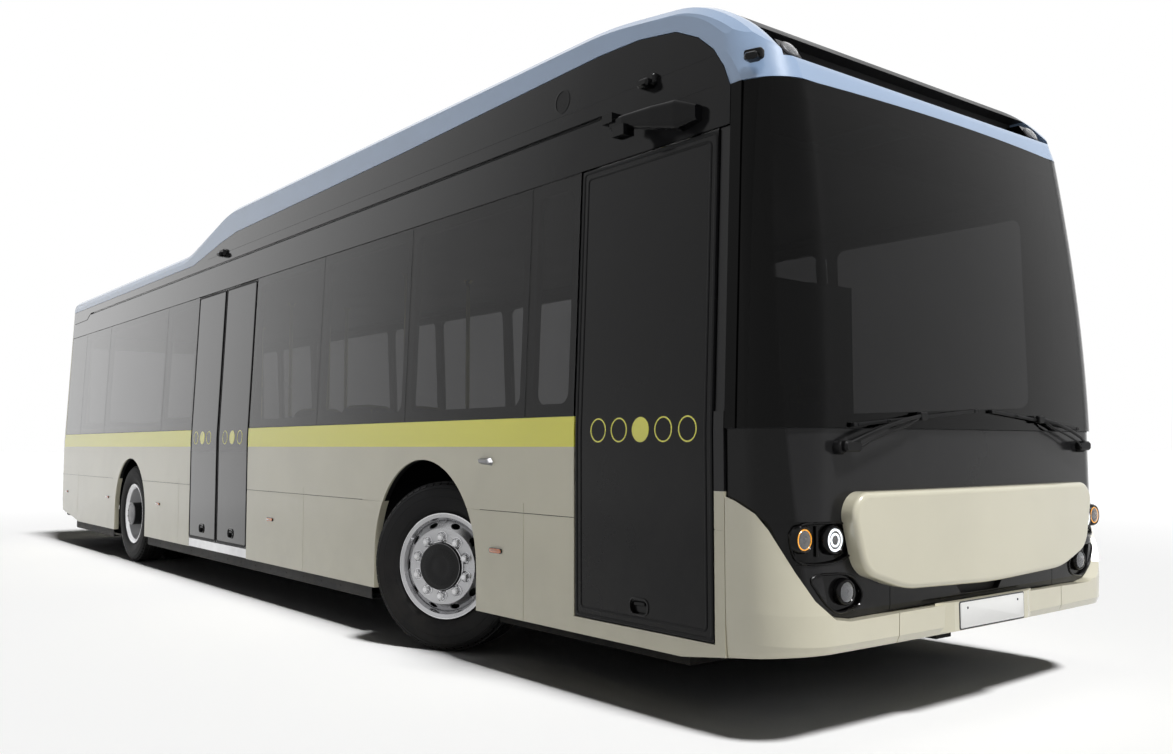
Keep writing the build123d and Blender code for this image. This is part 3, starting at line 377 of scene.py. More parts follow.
def glazing(name, tint, ior, flat):
    """Tinted pane, whose outer film shows most at a flat angle."""
    finish = Finish(name, {"Transmission Weight": 1.0, "IOR": ior, "Coat Roughness": 0.02})
    graph = finish.graph
    ripple = finish.effect("Lacquer Ripple", scale=4.0)
    finish.set("Base Color", graph.mottle(ripple["Mask"], 0.3, 0.7, tint, 0.9))
    finish.set("Roughness", graph.span(ripple["Mask"], 0.3, 0.7, 0.0, 0.01))
    finish.flat_coat(flat)
    finish.bump(ripple["Height"], strength=0.01, distance=0.001)
    return finish


def lens(name, tint, glow=None, glow_strength=0.0):
    """Clear or coloured lamp lens with fine flutes."""
    finish = Finish(name, {"Roughness": 0.08, "Coat Weight": 1.0})
    graph = finish.graph
    flutes = graph.add("ShaderNodeTexWave", {"Vector": finish.place, "Scale": 40.0}, bands_direction="Z")
    wave = flutes.outputs["Fac"]
    finish.set("Base Color", graph.mix(wave, tint, tuple(channel * 0.7 for channel in tint)))
    finish.bump(wave, strength=0.3, distance=0.001)
    if glow:
        finish.set("Emission Color", (*glow, 1))
        finish.set("Emission Strength", glow_strength)


def cloth(name, colour, fleck):
    """Woven seat cover."""
    finish = Finish(name, {"Roughness": 0.9, "Sheen Weight": 0.3})
    graph = finish.graph
    weave = graph.add("ShaderNodeTexChecker", {"Vector": finish.place, "Scale": 700.0}).outputs["Fac"]
    tone = graph.mix(weave, colour, tuple(channel * 0.75 for channel in colour))
    spots = graph.span(graph.noise(finish.place, scale=45.0, detail=2.0), 0.6, 0.66)
    finish.set("Base Color", graph.mix(spots, tone, fleck))
    finish.bump(weave, strength=0.3, distance=0.0005)


# ---- surfaces of the body
BELT_Z = 1.245
HALF_WIDTH = 1.275
SIDE_LEAN = 0.0434
LOW_NOSE = (
    # height, half width, corner radius, front x at the corner, crown
    (0.290, 1.262, 0.205, 5.842, 0.024), (0.520, 1.275, 0.215, 5.886, 0.028),
    (BELT_Z, 1.275, 0.245, 5.893, 0.036),
)
SCREEN_NOSE = (
    (BELT_Z, 1.275, 0.245, 5.893, 0.040), (1.730, 1.254, 0.243, 5.879, 0.040),
    (2.215, 1.233, 0.238, 5.838, 0.040), (2.700, 1.212, 0.228, 5.775, 0.040),
)


def nose(across, height, proud, levels=LOW_NOSE):
    """Point on the rounded nose, moved outwards by proud."""
    below = max([index for index, row in enumerate(levels[:-1]) if row[0] <= height], default=0)
    low, high = levels[below], levels[below + 1]
    share = (height - low[0]) / (high[0] - low[0])
    half, corner, front, crown = (a + (b - a) * share for a, b in zip(low[1:], high[1:]))
    half, corner, front = half + proud, corner + proud, front + proud
    straight = half - corner
    if abs(across) <= straight:
        return Vector((front + crown * (1 - (across / straight) ** 2), across, height))
    depth = math.sqrt(max(corner ** 2 - (abs(across) - straight) ** 2, 0))
    return Vector((front - corner + depth, across, height))


def flank(along, height, proud=0.0, side=RIGHT):
    """Point on a side of the body, which leans in above the belt, moved outwards by proud."""
    half_width = HALF_WIDTH - max(0.0, height - BELT_Z) * SIDE_LEAN
    return Vector((along, side * (half_width + proud), height))


def tail(across, height, proud):
    """Point on the tail, which leans in above the belt and is crowned, moved outwards by proud."""
    back, lean, crown, straight = 5.982, 0.037 / 1.605, 0.018, 1.1
    bulge = crown * (1 - min(1.0, (across / straight) ** 2))
    return Vector((-(back - max(0.0, height - BELT_Z) * lean + bulge + proud), across, height))


def shift(x=0.0, y=0.0, z=0.0):
    """Matrix that moves without a turn."""
    return Matrix.Translation((x, y, z))


def facing(place, normal, up=UP):
    """Matrix at a place whose Z is the normal and whose Y leans to up."""
    normal = Vector(normal).normalized()
    across = Vector(up).cross(normal).normalized()
    return Matrix.Translation(place) @ Matrix((across, normal.cross(across), normal)).transposed().to_4x4()


def axle_place(name):
    """Matrix whose Z runs outwards along a wheel's axle and whose X points up."""
    spin = next(joint for joint in frame["joints"] if joint["name"] == name)
    centre = Vector(spin["pos_m"])
    outward = Vector(spin["axis"])
    if outward.y * centre.y < 0:
        outward = -outward
    turn = Matrix((UP, outward.cross(Vector(UP)), outward)).transposed().to_4x4()
    return Matrix.Translation(centre) @ turn


# ---- outlines
def turns(steps, start=0.0):
    """Angles of equal steps round a circle, from a share of the first step on."""
    return [math.tau * (i + start) / steps for i in range(steps)]


def hexagon(radius):
    """Six corners on a circle."""
    return [(radius * math.cos(a), radius * math.sin(a)) for a in turns(6)]


def soft_box(width, height, radius, steps=4):
    """Rectangle with rounded corners as a run of points."""
    points = []
    for corner, (sx, sy) in enumerate(((1, 1), (-1, 1), (-1, -1), (1, -1))):
        for step in range(steps + 1):
            angle = math.pi / 2 * (corner + step / steps)
            points.append((sx * (width / 2 - radius) + radius * math.cos(angle),
                           sy * (height / 2 - radius) + radius * math.sin(angle)))
    return points


def cut_corners(points):
    """Closed run of points with its corners cut twice, so that they read as rounded."""
    cuts, share = 2, 0.2
    points = [Vector(p) for p in points]
    for _ in range(cuts):
        points = [mixed for a, b in zip(points, points[1:] + points[:1])
                  for mixed in (a.lerp(b, share), a.lerp(b, 1 - share))]
    return points


def drawn_in(outline, inset):
    """Outline moved inwards, or outwards for a negative inset."""
    if not inset:
        return outline
    sharpest = 0.2
    result = []
    for index, point in enumerate(outline):
        here = Vector(point)
        before = (here - Vector(outline[index - 1])).normalized()
        after = (Vector(outline[(index + 1) % len(outline)]) - here).normalized()
        first, second = Vector((-before.y, before.x)), Vector((-after.y, after.x))
        result.append(here + (first + second) * inset / max(1 + first.dot(second), sharpest))
    return result


# ---- meshes
class Shape:
    """Mesh in the making, in metres."""

    def __init__(self):
        self.mesh = bmesh.new()

    def skin(self, rows, caps=False, closed=False):
        """Quads between loops of points; caps closes the ends, closed joins the last loop to the first."""
        rows = [[self.mesh.verts.new(point) for point in row] for row in rows]
        pairs = list(zip(rows, rows[1:])) + ([(rows[-1], rows[0])] if closed else [])
        count = len(rows[0])
        for low, high in pairs:
            for i in range(count):
                j = (i + 1) % count
                self.mesh.faces.new((low[i], low[j], high[j], high[i]))
        if caps:
            self.mesh.faces.new(rows[0][::-1])
            self.mesh.faces.new(rows[-1])
        return self

    def lathe(self, place, profile, steps=48):
        """Closed ring or cap: a run of radius and height turned about the Z of a place."""
        circle = [(math.cos(a), math.sin(a)) for a in turns(steps)]
        rows = [[place @ Vector((radius * c, radius * s, height)) for c, s in circle]
                for radius, height in profile]
        return self.skin(rows, closed=profile[0][0] > 0)

    def plate(self, place, outline, levels):
        """Stack of an outline at heights, each drawn in by an inset, closed at both ends."""
        rows = [[place @ Vector((*point, height)) for point in drawn_in(outline, inset)]
                for height, inset in levels]
        return self.skin(rows, caps=True)

    def pad(self, place, size, levels):
        """Plate with a rounded rectangle for its outline: width, height and corner radius."""
        return self.plate(place, soft_box(*size), levels)

    def tube(self, points, width, height=None, steps=8, closed=False, up=UP):
        """Rod along a path with an oval section: width along up, height across it."""
        points = [Vector(point) for point in points]
        height = height or width
        count = len(points)
        rows = []
        for index, point in enumerate(points):
            ahead = points[(index + 1) % count] if closed or index < count - 1 else point
            behind = points[index - 1] if closed or index else point
            along = (ahead - behind).normalized()
            first = Vector(up).cross(along).normalized()
            second = along.cross(first)
            rows.append([point + first * height * math.cos(a) + second * width * math.sin(a)
                         for a in turns(steps, 0.5)])
        return self.skin(rows, caps=not closed, closed=closed)

    def take(self, mesh, place=STILL):
        """Adds a finished mesh, moved to a place."""
        mesh.transform(place)
        if place.determinant() < 0:
            mesh.flip_normals()
        self.mesh.from_mesh(mesh)
        bpy.data.meshes.remove(mesh)
        return self

    def data(self, name, crease=35.0):
        """Blender mesh with welded points, faces outward and smooth shading between sharp edges."""
        weld, shortest = 0.00001, 0.000005
        mesh = bpy.data.meshes.new(name)
        bmesh.ops.remove_doubles(self.mesh, verts=self.mesh.verts, dist=weld)
        bmesh.ops.dissolve_degenerate(self.mesh, edges=self.mesh.edges, dist=shortest)
        bmesh.ops.recalc_face_normals(self.mesh, faces=self.mesh.faces)
        self.mesh.to_mesh(mesh)
        self.mesh.free()
        mesh.shade_smooth()
        mesh.set_sharp_from_angle(angle=math.radians(crease))
        return mesh


def piece(name, shape, material, body=BODY, replaces=(), crease=35.0):
    """Finished piece that rides on a body."""
    mesh = shape.data(name, crease)
    # clearing also resets the finish numbers that repeated parts bring with them
    mesh.materials.clear()
    mesh.materials.append(materials[material])
    made = bpy.data.objects.new(name, mesh)
    bpy.context.scene.collection.objects.link(made)
    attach(made, body)
    if replaces:
        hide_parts(*replaces)
    return made


def repeat_tree(name, ring):
    """Geometry nodes that repeat a mesh round Z at a radius, or in a row by an offset, in one material."""
    tree = groups[name] = bpy.data.node_groups.new(name, "GeometryNodeTree")
    graph = Graph(tree)
    step = ("Radius", "NodeSocketFloat") if ring else ("Offset", "NodeSocketVector")
    for label, kind in (("Geometry", "NodeSocketGeometry"), ("Count", "NodeSocketInt"),
                        ("Material", "NodeSocketMaterial"), step):
        tree.interface.new_socket(name=label, in_out="INPUT", socket_type=kind)
    tree.interface.new_socket(name="Geometry", in_out="OUTPUT", socket_type="NodeSocketGeometry")
    values = graph.add("NodeGroupInput").outputs
    count = values["Count"]
    copies = {"Instance": values["Geometry"]}
    if ring:
        points = graph.add("GeometryNodeMeshCircle", {"Vertices": count, "Radius": values["Radius"]})
        spot = graph.axes(graph.add("GeometryNodeInputPosition").outputs[0])
        angle = graph.math("ARCTAN2", spot["Y"], spot["X"])
        turn = graph.add("ShaderNodeCombineXYZ", {"Z": angle}).outputs[0]
        copies["Rotation"] = graph.add("FunctionNodeEulerToRotation", {0: turn}).outputs[0]
    else:
        ends = {"Count": count, "Offset": values["Offset"]}
        points = graph.add("GeometryNodeMeshLine", ends, mode="OFFSET")
    copies["Points"] = points.outputs[0]
    placed = graph.add("GeometryNodeInstanceOnPoints", copies).outputs[0]
    real = graph.add("GeometryNodeRealizeInstances", {0: placed}).outputs[0]
    dressed = graph.add("GeometryNodeSetMaterial", {"Geometry": real, "Material": values["Material"]})
    graph.add("NodeGroupOutput", {0: dressed.outputs[0]})


def repeated(shape, material, count, radius=None, offset=None):
    """Mesh of a shape repeated by the node trees: round Z at a radius, or in a row by an offset."""
    carrier = bpy.data.objects.new("element", shape.data("element"))
    bpy.context.scene.collection.objects.link(carrier)
    tree = groups["Ring Repeat" if offset is None else "Row Repeat"]
    modifier = carrier.modifiers.new("repeat", "NODES")
    modifier.node_group = tree
    values = {"Count": count, "Material": materials[material], "Radius": radius, "Offset": offset}
    for socket in tree.interface.items_tree:
        if socket.in_out == "INPUT" and values.get(socket.name) is not None:
            modifier[socket.identifier] = values[socket.name]
    evaluated = carrier.evaluated_get(bpy.context.evaluated_depsgraph_get())
    mesh = bpy.data.meshes.new_from_object(evaluated)
    carrier.modifiers.remove(modifier)
    bpy.data.objects.remove(carrier)
    return mesh


class BusOperator:
    """Shared by the operators."""

    bl_options = {"REGISTER", "UNDO"}


# ---- finishes
FINISH_BY_SLOT = {
    "cream_paint": "cream paint", "black_panel": "gloss black", "blue_paint": "blue paint",
    "dark_roof": "roof black", "tinted_glass": "side glass", "alloy": "polished alloy",
    "chassis": "chassis black", "tyre": "tyre rubber", "interior_plastic": "cabin plastic",
    "floor_vinyl": "floor vinyl", "seat_cloth": "seat cloth", "rail": "rail steel", "lamp": "clear lens",
    "red_lamp": "red lens", "amber_lamp": "amber lens", "black_rubber": "rubber",
}
FINISH_BY_NODE = {
    "side paint": ("left_wall", "right_wall"),
    "screen glass": ("windscreen",),
    "front black": ("front_panel",),
    # the corner posts take a near-black whose extra darkness is painted shade of the recess at the front corners
    "deep black with painted shade": ("corner_posts",),
    "lamp black": ("headlamps", "roof_lamps", "camera_arms"),
    "door black": ("front_door", "mid_door_front_leaf", "mid_door_rear_leaf"),
    # the door sill is bare light alloy; the rear rims take the same bright alloy, brighter than the front rims, as
    # a painted reflection in their dish
    "bare alloy with painted rim light": ("door_sill", "left_rear_rims", "right_rear_rims"),
    # the underframe, battery pack and wheel houses take a darker black; the extra darkness is painted shade under
    # the bus
    "chassis black with painted shade": ("underframe", "battery_pack", "wheel_houses"),
}


class BUS_OT_finishes(BusOperator, bpy.types.Operator):
    """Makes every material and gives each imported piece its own"""

    bl_idname = "bus.finishes"
    bl_label = "Finishes"

    def execute(self, context):
        for build in (build_road_film, build_fine_grain, build_lacquer_ripple, build_painted_corner_reflection):
            build()
        repeat_tree("Ring Repeat", ring=True)
        repeat_tree("Row Repeat", ring=False)
        self.paints(context.scene.bus_livery)
        self.plastics()
        self.metals()
        self.glass()
        self.dress_nodes()
        return {"FINISHED"}

    def paints(self, livery):
        """Body paints and the gloss blacks."""
        paint("cream paint", livery.cream, film=0.06)
        paint("plate white", shade(236, 236, 234), film=0.0, coat=0.2)
        paint("blue paint", livery.blue, film=0.0)
        paint("yellow paint", livery.yellow, film=0.0)
        side_paint("side paint", livery)
        gloss_black("gloss black", livery.black)
        gloss_black("door black", shade(18, 18, 19), 0.09, 0.16)
        # near-black copy of the gloss black for the corner posts; its extra darkness is painted shade
        gloss_black("deep black with painted shade", shade(4, 4, 4), 0.05, 0.08, PRINT_RANGE)
        gloss_black("lamp black", shade(7, 7, 8), 0.12, 0.16, PRINT_RANGE)
        front = gloss_black("front black", shade(29, 29, 30), 0.16, 0.17, PRINT_RANGE)
        # the dark band round the corners of the front panel is a painted reflection
        front.painted_corner_reflection((0.001, 0.001, 0.001))

    def plastics(self):
        """Moulded parts, rubber, floor and cloth."""
        moulded("roof black", shade(38, 38, 39), 0.45, scale=200.0, relief=0.15)
        moulded("chassis black", shade(34, 34, 35), 0.6, scale=90.0, relief=0.3, film=0.20, level=0.15)
        # darker copy of the chassis black; the extra darkness is painted shade for the parts under the bus
        moulded("chassis black with painted shade", shade(13, 13, 14), 0.7, scale=90.0, relief=0.3, film=0.10, level=0.08)
        moulded("cap black", shade(16, 16, 17), 0.38, scale=120.0, relief=0.15)
        moulded("rubber", shade(10, 10, 11), 0.5, scale=300.0, relief=0.2, level=0.15)
        moulded("tyre rubber", shade(18, 18, 19), 0.6, scale=250.0, relief=0.3, film=0.07, level=0.14)
        moulded("cabin plastic", shade(66, 67, 70), 0.5)
        moulded("seat shell", shade(88, 90, 94), 0.4, scale=250.0, relief=0.15)
        moulded("floor vinyl", shade(80, 82, 85), 0.6, scale=120.0, relief=0.2)
        cloth("seat cloth", shade(56, 64, 84), shade(150, 150, 84))

    def metals(self):
        """Alloy, chrome and steel."""
        metal("polished alloy", (0.42, 0.42, 0.43), 0.22)
        metal("bright chrome", (0.62, 0.62, 0.63), 0.08, scale=60.0, relief=0.02)
        metal("dull steel", (0.22, 0.22, 0.225), 0.36, scale=160.0, relief=0.15)
        # bright alloy: the real metal of the door sill, and a painted reflection on the rear rims
        metal("bare alloy with painted rim light", (0.78, 0.78, 0.79), 0.38, scale=160.0, relief=0.12)
        metal("lamp bowl", (0.13, 0.13, 0.135), 0.24, scale=160.0, relief=0.1)
        metal("rail steel", (0.55, 0.53, 0.20), 0.3)

    def glass(self):
        """Panes and lamp lenses."""
        glazing("side glass", (0.21, 0.21, 0.212), 1.24, (0.50, 0.84))
        glazing("clear glass", (0.93, 0.94, 0.95), 1.45, SCREEN_RANGE)
        screen = glazing("screen glass", (0.08, 0.08, 0.081), 1.20, SCREEN_RANGE)
        # the dark band round the corners of the windscreen is a painted reflection
        screen.painted_corner_reflection((0.002, 0.002, 0.002))
        lens("dark lens", shade(14, 15, 18))
        lens("clear lens", shade(120, 122, 126))
        lens("red lens", shade(150, 14, 12))
        lens("amber lens", shade(216, 112, 26))
        lens("white light", (0.95, 0.97, 1.0), glow=(0.93, 0.96, 1.0), glow_strength=1.1)
        lens("amber light", shade(240, 150, 24), glow=(1.0, 0.44, 0.02), glow_strength=0.95)

    def dress_nodes(self):
        """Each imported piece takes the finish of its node, or else that of its slot."""
        by_node = {node: finish for finish, nodes in FINISH_BY_NODE.items() for node in nodes}
        for part in frame["record"]["subparts"]:
            name = part["node"]
            finishes = frame["nodes"][name].data.materials
            finishes.clear()
            finishes.append(materials[by_node.get(name, FINISH_BY_SLOT[part["material_slot"]])])


# ---- wheels
WHEELS = (
    # name, CAD tyre node, places of the tyres along the axle
    ("left_front", "left_front_tyre", (0.0,)), ("right_front", "right_front_tyre", (0.0,)),
    ("left_rear", "left_rear_tyres", (0.0, -0.311)), ("right_rear", "right_rear_tyres", (0.0, -0.311)),
)
TYRE_HALF_PROFILE = (
    # radius, distance from the middle: from the middle of the tread to the bead
    (0.4745, 0.0), (0.4738, 0.060), (0.4712, 0.098), (0.4655, 0.1192), (0.4555, 0.1268),
    (0.4480, 0.1290), (0.4472, 0.1278), (0.4440, 0.1282), (0.4430, 0.1318), (0.4250, 0.1346),
    (0.4050, 0.1364), (0.4035, 0.1353), (0.3990, 0.1354), (0.3975, 0.1368), (0.3850, 0.1368),
    (0.3650, 0.1340), (0.3450, 0.1292), (0.3360, 0.1262), (0.3345, 0.1240), (0.3300, 0.1232),
    (0.3280, 0.1215), (0.3150, 0.1130), (0.3060, 0.1050), (0.3035, 0.1025), (0.2878, 0.1015),
)
TREAD_ROWS = (
    # distance from the middle, half width, height of the face, slant
    (0.0, 0.0165, 0.4865, 0.006), (0.0405, 0.0170, 0.4863, -0.006), (-0.0405, 0.0170, 0.4863, -0.006),
    (0.0840, 0.0195, 0.4845, 0.004), (-0.0840, 0.0195, 0.4845, 0.004),
)
TREAD_RADIUS, TREAD_FOOT, HALF_GROOVE = 0.487, 0.4700, 0.0022
BLOCK_FLARE, BLOCK_EDGE_DROP, BLOCK_EDGE, BLOCK_KINK = 0.001, 0.0012, 0.0014, 0.3
LUG_SIDE, LUG_NORMAL, LUG_GAP = 0.1140, (0.78, 0.62), 0.008
LUG_BOX, LUG_LEVELS = (0.020, 0.003, 1), ((-0.016, 0), (0.0010, 0), (0.0022, 0.0014))
NUT_CIRCLE, WHEEL_NUTS = 0.1675, 10
NUT_FACE_FRONT, NUT_FACE_REAR = 0.136, -0.143
# profiles turned about the axle or a nut: radius, height
NUT_WASHER = ((0, 0.0003), (0.0330, 0.0003), (0.0330, 0.0040), (0.0300, 0.0062), (0.0268, 0.0040),
              (0.0240, 0.0012), (0, 0.0012))
NUT_HEX, NUT_HEX_LEVELS = 0.0236, ((0.0010, 0), (0.0220, 0), (0.0240, 0.0020))
NUT_COVER = ((0, 0.0350), (0.008, 0.0344), (0.0150, 0.0322), (0.0196, 0.0280), (0.0204, 0.0230), (0, 0.0228))
HUB_CAP = ((0, 0.1725), (0.030, 0.1722), (0.036, 0.1700), (0.060, 0.1698), (0.066, 0.1722), (0.098, 0.1718),
           (0.104, 0.1690), (0.120, 0.1672), (0.1310, 0.1640), (0.1345, 0.1560), (0.1348, 0.1366),
           (0.1325, 0.1366), (0, 0.1650))
CAP_RING = ((0.1352, 0.1366), (0.1352, 0.1440), (0.1385, 0.1462), (0.1420, 0.1440), (0.1430, 0.1366))
CAP_FINS, FIN_CIRCLE, FIN_FACE = 40, 0.084, 0.1690
CAP_FIN = (0.0440, 0.0030, 0.0010, 1), ((-0.004, 0), (0.0030, 0), (0.0040, 0.001))
HUB_DRUM = ((0.1118, 0.1400), (0.1118, -0.0325), (0.1398, -0.0340), (0.1398, -0.1424), (0.1386, -0.1424),
            (0.1386, -0.0352), (0.1102, -0.0352), (0.1102, 0.1400))
DRUM_END = ((0, 0.1185), (0.034, 0.1182), (0.038, 0.1160), (0.080, 0.1156), (0.083, 0.1136),
            (0.098, 0.1134), (0.108, 0.1120), (0.1132, 0.1085), (0.1132, 0.1010), (0.1112, 0.1010),
            (0.1102, 0.1103), (0, 0.1103))
DRUM_END_OUT, END_BOLTS, END_BOLT_CIRCLE, END_BOLT_FACE = 0.036, 10, 0.0905, 0.1134
END_BOLT_HEX, END_BOLT_LEVELS = 0.0075, ((-0.001, 0), (0.0048, 0), (0.0060, 0.0014))
RIM_LIP = ((0.2975, 0.1172), (0.2975, 0.1192), (0.3010, 0.1206), (0.3036, 0.1192), (0.3040, 0.1150),
           (0.3021, 0.1150), (0.3019, 0.1172))
VALVE, VALVE_RADIUS = ((0.268, 0, 0.070), (0.262, 0, 0.090), (0.250, 0, 0.110)), 0.0045


class BUS_OT_tyres(BusOperator, bpy.types.Operator):
    """Tyres with ribbed tread blocks and stepped sidewalls"""

    bl_idname = "bus.tyres"
    bl_label = "Tyres"

    def execute(self, context):
        pitches = context.scene.bus_wheels.tread_pitches
        half = TYRE_HALF_PROFILE
        profile = half[::-1] + tuple((radius, -across) for radius, across in half[1:])
        for name, node, offsets in WHEELS:
            shape = Shape()
            place = axle_place(f"{name}_spin")
            for offset in offsets:
                spot = place @ shift(z=offset)
                shape.lathe(spot, profile, 96)
                shape.take(repeated(self.pitch(pitches), "tyre rubber", pitches, radius=TREAD_FOOT), spot)
            piece(f"{name}_tread_tyre", shape, "tyre rubber", f"{name}_wheel", (node,), crease=28)
        return {"FINISHED"}

    def pitch(self, pitches):
        """Blocks of one tread pitch, radial along X, and the lugs on its shoulders."""
        shape = Shape()
        half = math.pi * TREAD_RADIUS / pitches - HALF_GROOVE
        for across, wide, top, slant in TREAD_ROWS:
            place = Matrix(((0, 0, 1, 0), (1, 0, 0, 0), (0, 1, 0, across), (0, 0, 0, 1)))
            kink = -wide * BLOCK_KINK
            outline = ((-half - slant, -wide), (half - slant, -wide), (half, kink),
                       (half + slant, wide), (-half + slant, wide), (-half, kink))
            block = top - TREAD_FOOT
            levels = ((0, -BLOCK_FLARE), (block - BLOCK_EDGE_DROP, 0), (block, BLOCK_EDGE))
            shape.plate(place, outline, levels)
        for side in SIDES:
            out, along = LUG_NORMAL
            place = facing((0, 0, side * LUG_SIDE), (out, 0, side * along), (0, 0, side))
            shape.pad(place, (2 * half - LUG_GAP, *LUG_BOX), LUG_LEVELS)
        return shape


class BUS_OT_wheel_fittings(BusOperator, bpy.types.Operator):
    """Wheel nuts, hub caps, hub drums and valves"""

    bl_idname = "bus.wheel_fittings"
    bl_label = "Wheel fittings"

    def execute(self, context):
        for name, _, offsets in WHEELS:
            place = axle_place(f"{name}_spin")
            body = f"{name}_wheel"
            front = len(offsets) == 1
            nuts = Shape().take(repeated(self.nut(), "bright chrome", WHEEL_NUTS, radius=NUT_CIRCLE),
                                place @ shift(z=NUT_FACE_FRONT if front else NUT_FACE_REAR))
            piece(f"{name}_wheel_nuts", nuts, "bright chrome", body)
            if front:
                self.front_cap(name, place, body)
            else:
                self.rear_drum(name, place, body)
            lip = Shape().lathe(place, RIM_LIP, 96)
            lip.tube([place @ Vector(point) for point in VALVE], VALVE_RADIUS,
                     up=place.to_3x3() @ Vector(ACROSS))
            piece(f"{name}_rim_lip", lip, "bright chrome", body)
        return {"FINISHED"}

    def nut(self):
        """Washer, six-sided nut and rounded cover."""
        shape = Shape().lathe(STILL, NUT_WASHER, 24)
        shape.plate(STILL, hexagon(NUT_HEX), NUT_HEX_LEVELS)
        return shape.lathe(STILL, NUT_COVER, 16)

    def front_cap(self, name, place, body):
        """Black cap over the front hub with a ring of small fins."""
        piece(f"{name}_hub_cap", Shape().lathe(place, HUB_CAP, 64), "cap black", body)
        fins = repeated(Shape().pad(STILL, *CAP_FIN), "cap black", CAP_FINS, radius=FIN_CIRCLE)
        piece(f"{name}_cap_fins", Shape().take(fins, place @ shift(z=FIN_FACE)), "cap black", body)
        piece(f"{name}_cap_ring", Shape().lathe(place, CAP_RING, 64), "bright chrome", body)

    def rear_drum(self, name, place, body):
        """Painted drum that stands out of the deep dish, with a machined end."""
        piece(f"{name}_hub_drum", Shape().lathe(place, HUB_DRUM, 64), "cap black", body)
        place = place @ shift(z=DRUM_END_OUT)
        end = Shape().lathe(place, DRUM_END, 64)
        bolt = Shape().plate(STILL, hexagon(END_BOLT_HEX), END_BOLT_LEVELS)
        bolts = repeated(bolt, "dull steel", END_BOLTS, radius=END_BOLT_CIRCLE)
        end.take(bolts, place @ shift(z=END_BOLT_FACE))
        piece(f"{name}_hub_end", end, "dull steel", body)


# ---- front
FRONT_LAMPS = (
    # across, height, face x, radius, width of the lit rings, their outer radii, light, spokes
    (1.014, 0.805, 5.890, 0.046, 0.0085, (0.97, 0.60), "white light", 6),
    (1.165, 0.812, 5.862, 0.042, 0.0042, (0.97,), "amber light", 0),
    (0.945, 0.596, 5.890, 0.040, 0.0, (), "", 0),
)
LAMP_FRAMES = (
    # outlines seen from the front, across and height: the head lamp surround and the fog lamp surround
    ((0.858, 0.866), (0.811, 0.759), (0.892, 0.748), (0.982, 0.714), (1.150, 0.712), (1.190, 0.740),
     (1.200, 0.878)),
    ((1.150, 0.676), (0.905, 0.668), (0.832, 0.588), (0.857, 0.530), (0.990, 0.512), (1.070, 0.566)),
)
FRAME_SUNK, FRAME_SECTION, RIB_SUNK, RIB_SECTION = -0.0115, (0.0065, 0.0055), -0.0175, (0.006, 0.009)
RIBS_ACROSS, RIB_HEIGHTS = (0.915, 1.092), (0.742, 0.80, 0.862)
# radius from the lamp's edge, height
BEZEL = ((0.0005, -0.020), (0.0005, 0.004), (0.003, 0.007), (0.008, 0.006), (0.013, -0.001), (0.015, -0.020))
# share of the lamp's radius, height
BOWL = ((0, 0.0006), (0.25, 0.0008), (0.30, 0.0035), (0.50, 0.0012), (0.96, 0.0030), (0.98, 0.0002),
        (0, 0.0002))
FRONT_LENS = ((0, 0.0110), (0.5, 0.0103), (0.8, 0.0085), (1, 0.0048), (1, 0.0036), (0.8, 0.0073),
              (0.5, 0.0091), (0, 0.0098))
LIT_FOOT, LIT_EDGE, LIT_CREST = 0.0015, 0.0045, 0.0068
SPOKE_CIRCLE = 0.30
SPOKE = (0.012, 0.0045, 0.001, 1), ((0.0006, 0), (0.0060, 0.0004), (0.0068, 0.0014))


def scaled(radius, profile):
    """Profile whose radii are shares of a radius."""
    return [(radius * share, height) for share, height in profile]


def widened(radius, profile):
    """Profile whose radii are steps out from a radius."""
    return [(radius + out, height) for out, height in profile]


class BUS_OT_front_lamps(BusOperator, bpy.types.Operator):
    """Rings, bowls, spokes and lenses of the front lamps"""

    bl_idname = "bus.front_lamps"
    bl_label = "Front lamps"

    def execute(self, context):
        bezels, bowls, lenses = Shape(), Shape(), Shape()
        lit = {"white light": Shape(), "amber light": Shape()}
        for side in SIDES:
            for across, height, face, radius, band, rings, light, spokes in FRONT_LAMPS:
                place = facing((face, side * across, height), AHEAD)
                bezels.lathe(place, widened(radius, BEZEL))
                bowls.lathe(place, scaled(radius, BOWL))
                lenses.lathe(place, scaled(radius, FRONT_LENS))
                for share in rings:
                    outer = radius * share
                    inner = outer - band
                    crest = (inner + outer) / 2
                    lit[light].lathe(place, ((inner, LIT_FOOT), (inner, LIT_EDGE), (crest, LIT_CREST),
                                             (outer, LIT_EDGE), (outer, LIT_FOOT)))
                if spokes:
                    spoke = Shape().pad(STILL, *SPOKE)
                    bowls.take(repeated(spoke, "dull steel", spokes, radius=radius * SPOKE_CIRCLE), place)
            self.frames(bezels, side)
        piece("lamp_bezels", bezels, "lamp black")
        piece("lamp_bowls", bowls, "lamp bowl")
        piece("lamp_lenses", lenses, "clear glass")
        piece("day_rings", lit["white light"], "white light")
        piece("turn_rings", lit["amber light"], "amber light")
        return {"FINISHED"}

    def frames(self, shape, side):
        """Raised rims round the lamp surrounds, and the ribs beside the head lamps."""
        for outline in LAMP_FRAMES:
            path = [nose(side * y, z, FRAME_SUNK) for y, z in cut_corners(outline)]
            shape.tube(path, *FRAME_SECTION, closed=True, up=AHEAD)
        for y in RIBS_ACROSS:
            shape.tube([nose(side * y, z, RIB_SUNK) for z in RIB_HEIGHTS], *RIB_SECTION, up=AHEAD)


